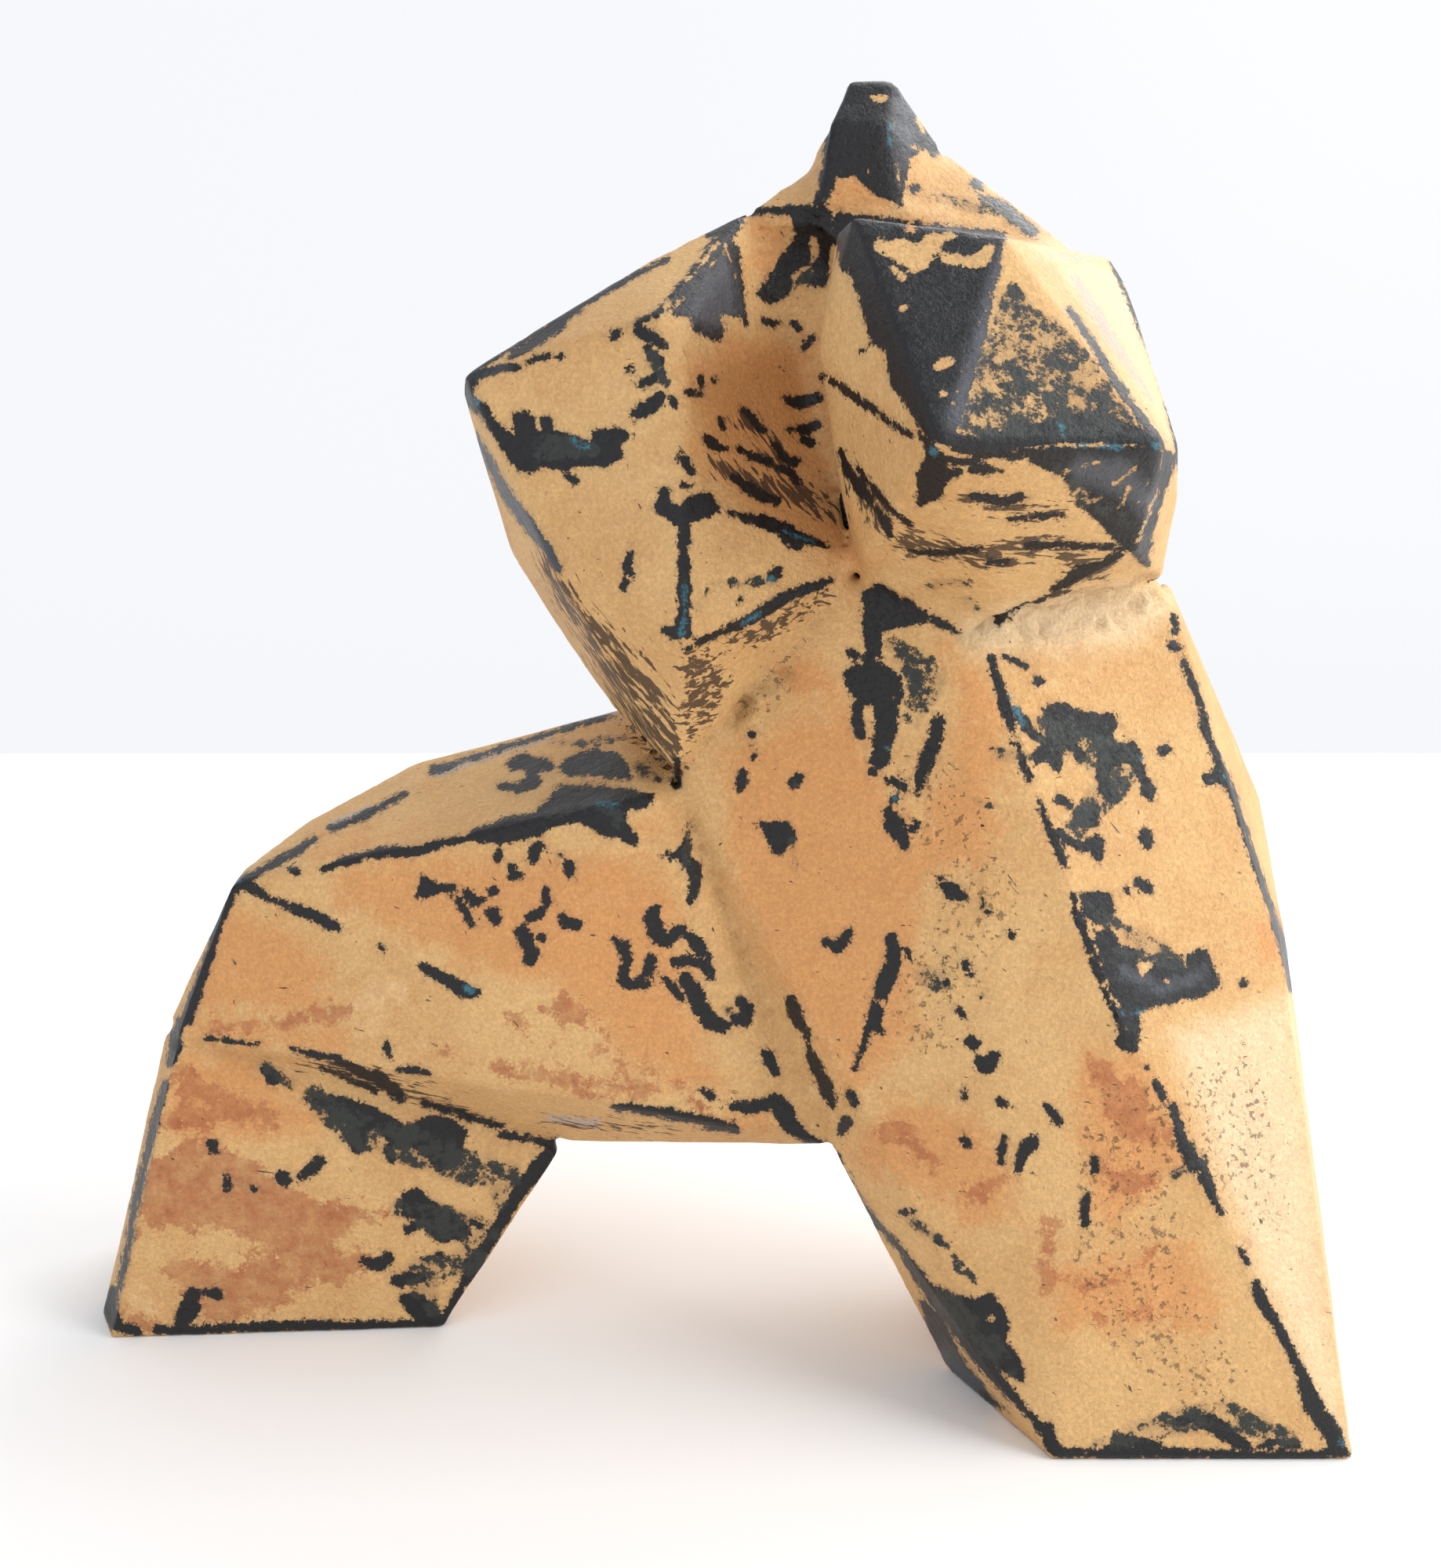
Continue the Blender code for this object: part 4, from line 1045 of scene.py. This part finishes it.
patinaSettings = {
    "ochre": (220, 176, 116),
    "paleOchre": (232, 194, 138),
    "deepOchre": (211, 162, 102),
    "orange": (214, 146, 84),
    "rust": (172, 98, 58),
    "brown": (112, 70, 40),
    "black": (17, 16, 18),
    "slate": (84, 86, 92),
    "dry": (46, 50, 45),
    "highlightCream": (248, 226, 188),
    "paintedGreySheen": (172, 170, 168),
    "turquoise": (62, 132, 150),
    "haze": (98, 84, 66),
    "fleck": (62, 44, 32),
    "ochreRoughness": 0.56,
    "ochreRoughnessSpread": 0.22,
    "blackRoughness": 0.38,
    "blackRoughnessSpread": 0.20,
    "shine": 0.40,
    "steepSlant": math.radians(52.0),
    "levelSlant": math.radians(8.0),
    "streakStretch": (5.0, 1.0, 1.0),
    "rustDepth": (1.6, -0.16),
    "gritDepth": (-0.22, 0.20),
    # scale, detail, roughness, seed and distortion
    "noises": {
        "coarse": (320.0, 7.0, 0.72, 1.0, 0.0),
        "grain": (1300.0, 4.0, 0.70, 2.0, 0.0),
        "cloud": (26.0, 6.0, 0.62, 3.0, 0.4),
        "edge": (45.0, 5.0, 0.65, 4.0, 0.0),
        "dry": (190.0, 10.0, 0.80, 5.0, 0.0),
        "speck": (420.0, 3.0, 0.6, 6.0, 0.0),
        "steepHair": (780.0, 4.0, 0.62, 7.0, 0.5),
        "levelHair": (780.0, 4.0, 0.62, 8.0, 0.5),
        "wash": (38.0, 5.0, 0.6, 9.0, 0.0),
        "mottle": (210.0, 5.0, 0.62, 10.0, 0.0),
        "backRust": (30.0, 6.0, 0.6, 11.0, 0.0),
        "fleck": (640.0, 4.0, 0.62, 12.0, 0.0),
        "pits": (700.0, 4.0, 0.65, 13.0, 0.0),
        "lumps": (400.0, 5.0, 0.65, 14.0, 0.0),
        "haze": (120.0, 6.0, 0.7, 15.0, 0.0),
        "patchy": (150.0, 5.0, 0.7, 16.0, 0.0),
        "grit": (1100.0, 4.0, 0.7, 17.0, 0.0),
        "spatter": (800.0, 6.0, 0.75, 18.0, 0.0),
    },
    # where a layer begins to show, and where it covers
    "limits": {
        "seen": (0.50, 0.62),
        "placed": (-0.9, 0.9),
        "patches": (0.695, 0.712),
        "worn": (0.80, 0.85),
        "dryPlace": (-11.0, 9.0),
        "dry": (0.705, 0.742),
        "haze": (0.60, 0.86),
        "speck": (0.735, 0.755),
        "streaks": (0.560, 0.590),
        "spatter": (37.0, 40.0),
        "wash": (0.42, 0.62),
        "pale": (0.74, 0.98),
        "warm": (-22.0, 24.0),
        "stained": (-3.0, 8.0),
        "backRust": (0.58, 0.64),
        "fringe": (-9.0, 2.0),
        "sunlit": (-28.0, 26.0),
        "greyish": (-4.0, 5.0),
        "grit": (0.40, 0.62),
        "fleck": (0.705, 0.745),
        "slateSheen": (-12.0, 16.0),
        "green": (-2.0, 5.0),
        "pits": (0.34, 0.50),
    },
    # a mark's map, how far coarse and fine noise break up its rim, and its shift, in photograph pixels
    "rims": {
        "placed": ("blackWearAndShadow", 26.0, 13.0, 1.5),
        "fringe": ("blackWearAndShadow", 34.0, 26.0, 0.0),
        "orange": ("orange", 60.0, 24.0, -55.0),
        "rust": ("rust", 60.0, 30.0, -45.0),
        "pale": ("pale", 40.0, 16.0, 0.0),
        "grey": ("grey", 14.0, 12.0, 0.0),
        "slate": ("slate", 30.0, 24.0, 0.0),
        "turquoise": ("turquoise", 16.0, 22.0, 0.0),
    },
    # how much of one layer is added to another
    "weights": {
        "seenGrain": 0.5,
        "patchCoarse": 0.16,
        "patchGrain": 0.06,
        "edgeNoise": 0.9,
        "edgeWear": 0.75,
        "edgeGrain": 0.12,
        "dryPlace": 0.235,
        "hazePlace": 0.30,
        "streakPlace": 0.0085,
        "spatter": 72.0,
        "paleMottle": 0.4,
        "warmPatchy": 110.0,
        "rustPatchy": 90.0,
        "fleckLumpy": 0.135,
    },
    # how strongly a layer tints what lies under it
    "tints": {
        "pale": 0.8,
        "warm": 0.72,
        "haze": 0.30,
        "crease": 0.16,
        "sunlit": 0.55,
        "greyish": 0.6,
        "fleck": 0.6,
        "streaked": 0.9,
        "dry": 0.8,
        "slateSheen": 0.8,
        "green": 0.62,
    },
    "relief": {
        "ochre": 0.10,
        "pits": 0.26,
        "mottle": 1.20,
        "grit": 0.16,
        "fleck": -0.30,
        "lumpy": 0.8,
        "crumbly": 4.5,
        "worked": 1.0,
        "streaked": 0.25,
        "strength": 0.8,
        "distance": 0.0006,
    },
}


def patinaMaterial(settings):
    weights, tints, relief = settings["weights"], settings["tints"], settings["relief"]
    material = bpy.data.materials.new("patinatedBronze")
    material.use_nodes = True
    tree = material.node_tree
    tree.nodes.clear()
    end = addNode(tree, "ShaderNodeOutputMaterial", (1600, 0))
    shader = addNode(tree, "ShaderNodeBsdfPrincipled", (1300, 0))
    wire(tree, shader.outputs[0], end.inputs[0])
    where = addNode(tree, "ShaderNodeTexCoord", (-1600, 0)).outputs["Object"]

    def noise(name, source=where):
        scale, detail, roughness, seed, distortion = settings["noises"][name]
        node = addNode(tree, "ShaderNodeTexNoise", noise_dimensions="4D")
        wire(tree, source, node.inputs["Vector"])
        node.inputs["W"].default_value = seed
        node.inputs["Scale"].default_value = scale
        node.inputs["Detail"].default_value = detail
        node.inputs["Roughness"].default_value = roughness
        node.inputs["Distortion"].default_value = distortion
        return node.outputs[0]

    def attribute(name):
        return addNode(tree, "ShaderNodeAttribute", attribute_name=name).outputs["Fac"]

    def calc(operation, first, second=None, third=None):
        return sums(tree, operation, first, second, third)

    def plus(base, layer, name):
        return calc("MULTIPLY_ADD", layer, weights[name], base)

    def step(name, value):
        node = addNode(tree, "ShaderNodeMapRange", interpolation_type="SMOOTHSTEP")
        wire(tree, value, node.inputs["Value"])
        low, high = settings["limits"][name]
        node.inputs["From Min"].default_value = low
        node.inputs["From Max"].default_value = high
        return node.outputs[0]

    def blend(share, under, over):
        node = addNode(tree, "ShaderNodeMix", data_type="RGBA")
        wire(tree, share, node.inputs["Factor"])
        for socket, value in ((node.inputs[6], under), (node.inputs[7], over)):
            if isinstance(value, tuple):
                socket.default_value = linear(*value)
            else:
                wire(tree, value, socket)
        return node.outputs[2]

    def tint(name, layer, under, over):
        return blend(calc("MULTIPLY", layer, tints[name]), under, over)

    def ragged(name):
        # a listed mark with its outline broken up by noise
        marks, rough, fine, shift = settings["rims"][name]
        value = calc("MULTIPLY_ADD", coarse, rough, attribute(marks))
        value = calc("MULTIPLY_ADD", grain, fine, value)
        return calc("ADD", value, shift - 0.5 * (rough + fine))

    coarse = noise("coarse")
    grain = noise("grain")
    seen = step("seen", plus(attribute("seen"), grain, "seenGrain"))
    unseen = calc("SUBTRACT", 1.0, seen)

    # black: placed one by one in front, by edge and by cloudy patches where the camera does not look
    placed = step("placed", ragged("placed"))
    patches = step("patches", plus(plus(noise("cloud"), coarse, "patchCoarse"), grain, "patchGrain"))
    worn = plus(calc("MULTIPLY", noise("edge"), weights["edgeNoise"]), attribute("edgeWear"), "edgeWear")
    worn = step("worn", plus(worn, grain, "edgeGrain"))
    elsewhere = calc("MULTIPLY", calc("MAXIMUM", patches, worn), unseen)
    dryPlace = step("dryPlace", attribute("dryBrush"))
    dry = step("dry", plus(noise("dry"), dryPlace, "dryPlace"))
    haze = step("haze", plus(noise("haze"), dryPlace, "hazePlace"))
    speck = step("speck", noise("speck"))

    def streaks(name, hair, slant):
        turn = addNode(tree, "ShaderNodeMapping", vector_type="TEXTURE")
        wire(tree, where, turn.inputs["Vector"])
        turn.inputs["Rotation"].default_value = (0.0, slant, 0.0)
        turn.inputs["Scale"].default_value = settings["streakStretch"]
        return step("streaks", plus(noise(hair, turn.outputs[0]), attribute(name), "streakPlace"))

    steep = streaks("steepStreaks", "steepHair", settings["steepSlant"])
    level = streaks("levelStreaks", "levelHair", settings["levelSlant"])
    spatter = step("spatter", plus(attribute("blackWearAndShadow"), noise("spatter"), "spatter"))
    speck = calc("MAXIMUM", speck, spatter)
    black = calc("MAXIMUM", calc("MAXIMUM", placed, elsewhere), calc("MAXIMUM", dry, speck))
    streaked = calc("MAXIMUM", steep, level)

    # ochre wash, warmer and paler by turns
    wash = noise("wash")
    mottle = noise("mottle")
    colour = blend(step("wash", wash), settings["ochre"], settings["deepOchre"])
    pale = step("pale", plus(wash, mottle, "paleMottle"))
    colour = tint("pale", pale, colour, settings["paleOchre"])
    patchy = noise("patchy")
    # orange stains, with painted shade in the chest hollow and on the chest below the forearm
    warm = step("warm", plus(ragged("orange"), patchy, "warmPatchy"))
    colour = tint("warm", warm, colour, settings["orange"])
    stained = step("stained", plus(ragged("rust"), patchy, "rustPatchy"))
    backRust = calc("MULTIPLY", step("backRust", noise("backRust")), unseen)
    rusty = calc("MAXIMUM", stained, backRust)
    depthOfRust = calc("MULTIPLY_ADD", mottle, *settings["rustDepth"])
    colour = blend(calc("MULTIPLY", rusty, depthOfRust), colour, settings["rust"])
    fringe = step("fringe", ragged("fringe"))
    colour = tint("haze", calc("MAXIMUM", fringe, haze), colour, settings["haze"])
    # creases tinted towards brown: partly patina, partly painted shade
    colour = tint("crease", attribute("crease"), colour, settings["brown"])
    # painted highlight: cream laid on the strips that face the window light
    colour = tint("sunlit", step("sunlit", ragged("pale")), colour, settings["highlightCream"])
    # painted sheen: pale grey where the surface mirrors the light
    colour = tint("greyish", step("greyish", ragged("grey")), colour, settings["paintedGreySheen"])
    grit = step("grit", noise("grit"))
    colour = blend(calc("MULTIPLY_ADD", grit, *settings["gritDepth"]), colour, settings["brown"])
    pitted = calc("MULTIPLY", attribute("lumpy"), weights["fleckLumpy"])
    fleck = step("fleck", calc("ADD", noise("fleck"), pitted))
    colour = tint("fleck", fleck, colour, settings["fleck"])
    colour = tint("streaked", streaked, colour, settings["fleck"])

    # the black coat, with painted slate-grey reflections where it mirrors the light, turquoise where copper
    # salts show
    coat = tint("dry", dry, settings["black"], settings["dry"])
    coat = tint("slateSheen", step("slateSheen", ragged("slate")), coat, settings["slate"])
    coat = tint("green", step("green", ragged("turquoise")), coat, settings["turquoise"])
    wire(tree, blend(black, colour, coat), shader.inputs["Base Color"])

    def gloss(name):
        swing = settings[name + "Spread"]
        return calc("MULTIPLY_ADD", mottle, swing, settings[name] - swing / 2)

    mixGloss = addNode(tree, "ShaderNodeMix", data_type="FLOAT")
    wire(tree, black, mixGloss.inputs["Factor"])
    wire(tree, gloss("ochreRoughness"), mixGloss.inputs[2])
    wire(tree, gloss("blackRoughness"), mixGloss.inputs[3])
    wire(tree, mixGloss.outputs[0], shader.inputs["Roughness"])
    shader.inputs["Specular IOR Level"].default_value = settings["shine"]

    # relief: the ochre stands a hair above the black, with pits, brush hairs and lumps
    height = calc("MULTIPLY", calc("SUBTRACT", 1.0, black), relief["ochre"])
    pits = step("pits", noise("pits"))
    for name, layer in (("pits", pits), ("mottle", mottle), ("grit", grit), ("fleck", fleck)):
        height = calc("MULTIPLY_ADD", layer, relief[name], height)
    crumbled = calc("MULTIPLY", attribute("crumbly"), relief["crumbly"])
    worked = calc("MULTIPLY_ADD", attribute("lumpy"), relief["lumpy"], crumbled)
    worked = calc("MULTIPLY", worked, noise("lumps"))
    height = calc("MULTIPLY_ADD", worked, relief["worked"], height)
    height = calc("MULTIPLY_ADD", calc("SUBTRACT", 1.0, streaked), relief["streaked"], height)
    bump = addNode(tree, "ShaderNodeBump", (1000, -300))
    bump.inputs["Strength"].default_value = relief["strength"]
    bump.inputs["Distance"].default_value = relief["distance"]
    wire(tree, height, bump.inputs["Height"])
    wire(tree, bump.outputs[0], shader.inputs["Normal"])
    return material


def makeFigure(settings):
    finish = patinaMaterial(patinaSettings)
    mesh = facetedFinely(settings)
    softenCreases(mesh, settings)
    addWearAttributes(mesh, settings)
    rough = bpy.data.objects.new("roughFigure", mesh)
    bpy.context.scene.collection.objects.link(rough)
    tree, inputs = handWorkedSkin(settings, finish)
    skin = rough.modifiers.new("handWorkedSkin", "NODES")
    skin.node_group = tree
    for identifier, value in inputs.items():
        skin[identifier] = value
    shaped = bpy.data.meshes.new_from_object(rough.evaluated_get(bpy.context.evaluated_depsgraph_get()))
    rough.modifiers.clear()
    bpy.data.objects.remove(rough)
    places = meshArrays(shaped)[0]
    shaped.vertices.foreach_set("co", np.clip(places, cadBox[0], cadBox[1]).ravel())
    shaped.name = "taiChiFigure"
    figure = bpy.data.objects.new("taiChiFigure", shaped)
    bpy.context.scene.collection.objects.link(figure)
    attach(figure, "root")
    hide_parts(settings["node"])
    print("figure", len(shaped.polygons), "triangles of", settings["mostTriangles"])


makeFigure(figureSettings)

# a pale table that ends behind the figure, a pale wall and soft light, strongest from the right
studioSettings = {
    "floorColour": (246, 244, 241),
    "floorHalfWidth": 2.2,
    "floorNear": -1.6,
    "floorFar": 0.69,
    "floorRoughness": 0.8,
    "wallColour": (247, 248, 251),
    "wallPlace": 0.95,
    "wallFoot": -0.5,
    "wallHeight": 1.8,
    "wallGlow": 0.96,
    "roomColour": (232, 237, 245),
    "roomGlow": 0.78,
    "aim": (0.0, 0.0, 0.13),
    "lights": {
        "window": {"place": (1.0, -0.28, 0.72), "size": 0.9, "power": 13.5},
        "skylight": {"place": (0.45, 0.55, 0.85), "size": 0.6, "power": 5.0},
        "fill": {"place": (-0.6, -0.9, 0.7), "size": 1.2, "power": 3.6},
    },
}


def softLight(name, place, size, power, aim):
    data = bpy.data.lights.new(name, "AREA")
    data.shape = "SQUARE"
    data.size = size
    data.energy = power
    light = bpy.data.objects.new(name, data)
    light.location = place
    light.rotation_euler = (Vector(aim) - Vector(place)).to_track_quat("-Z", "Y").to_euler()
    bpy.context.scene.collection.objects.link(light)


def plainSheet(name, corners, material):
    mesh = bpy.data.meshes.new(name)
    mesh.from_pydata(corners, [], [(0, 1, 2, 3)])
    mesh.materials.append(material)
    sheet = bpy.data.objects.new(name, mesh)
    bpy.context.scene.collection.objects.link(sheet)


def setStudio(settings):
    scene = bpy.context.scene
    scene.view_settings.view_transform = "Standard"
    floorPaint = bpy.data.materials.new("floorWhite")
    floorPaint.use_nodes = True
    shader = floorPaint.node_tree.nodes["Principled BSDF"]
    shader.inputs["Base Color"].default_value = linear(*settings["floorColour"])
    shader.inputs["Roughness"].default_value = settings["floorRoughness"]
    half, near, far = settings["floorHalfWidth"], settings["floorNear"], settings["floorFar"]
    plainSheet("floor", [(-half, near, 0), (half, near, 0), (half, far, 0), (-half, far, 0)], floorPaint)
    plaster = bpy.data.materials.new("wallWhite")
    plaster.use_nodes = True
    shader = plaster.node_tree.nodes["Principled BSDF"]
    shader.inputs["Base Color"].default_value = (0.0, 0.0, 0.0, 1.0)
    shader.inputs["Emission Color"].default_value = linear(*settings["wallColour"])
    shader.inputs["Emission Strength"].default_value = settings["wallGlow"]
    wall, foot, top = settings["wallPlace"], settings["wallFoot"], settings["wallHeight"]
    corners = [(-half, wall, foot), (half, wall, foot), (half, wall, top), (-half, wall, top)]
    plainSheet("wall", corners, plaster)
    world = bpy.data.worlds.new("paleRoom")
    world.use_nodes = True
    room = world.node_tree.nodes["Background"]
    room.inputs["Color"].default_value = linear(*settings["roomColour"])
    room.inputs["Strength"].default_value = settings["roomGlow"]
    scene.world = world
    for name, light in settings["lights"].items():
        softLight(name, light["place"], light["size"], light["power"], settings["aim"])


setStudio(studioSettings)
print("studio set")
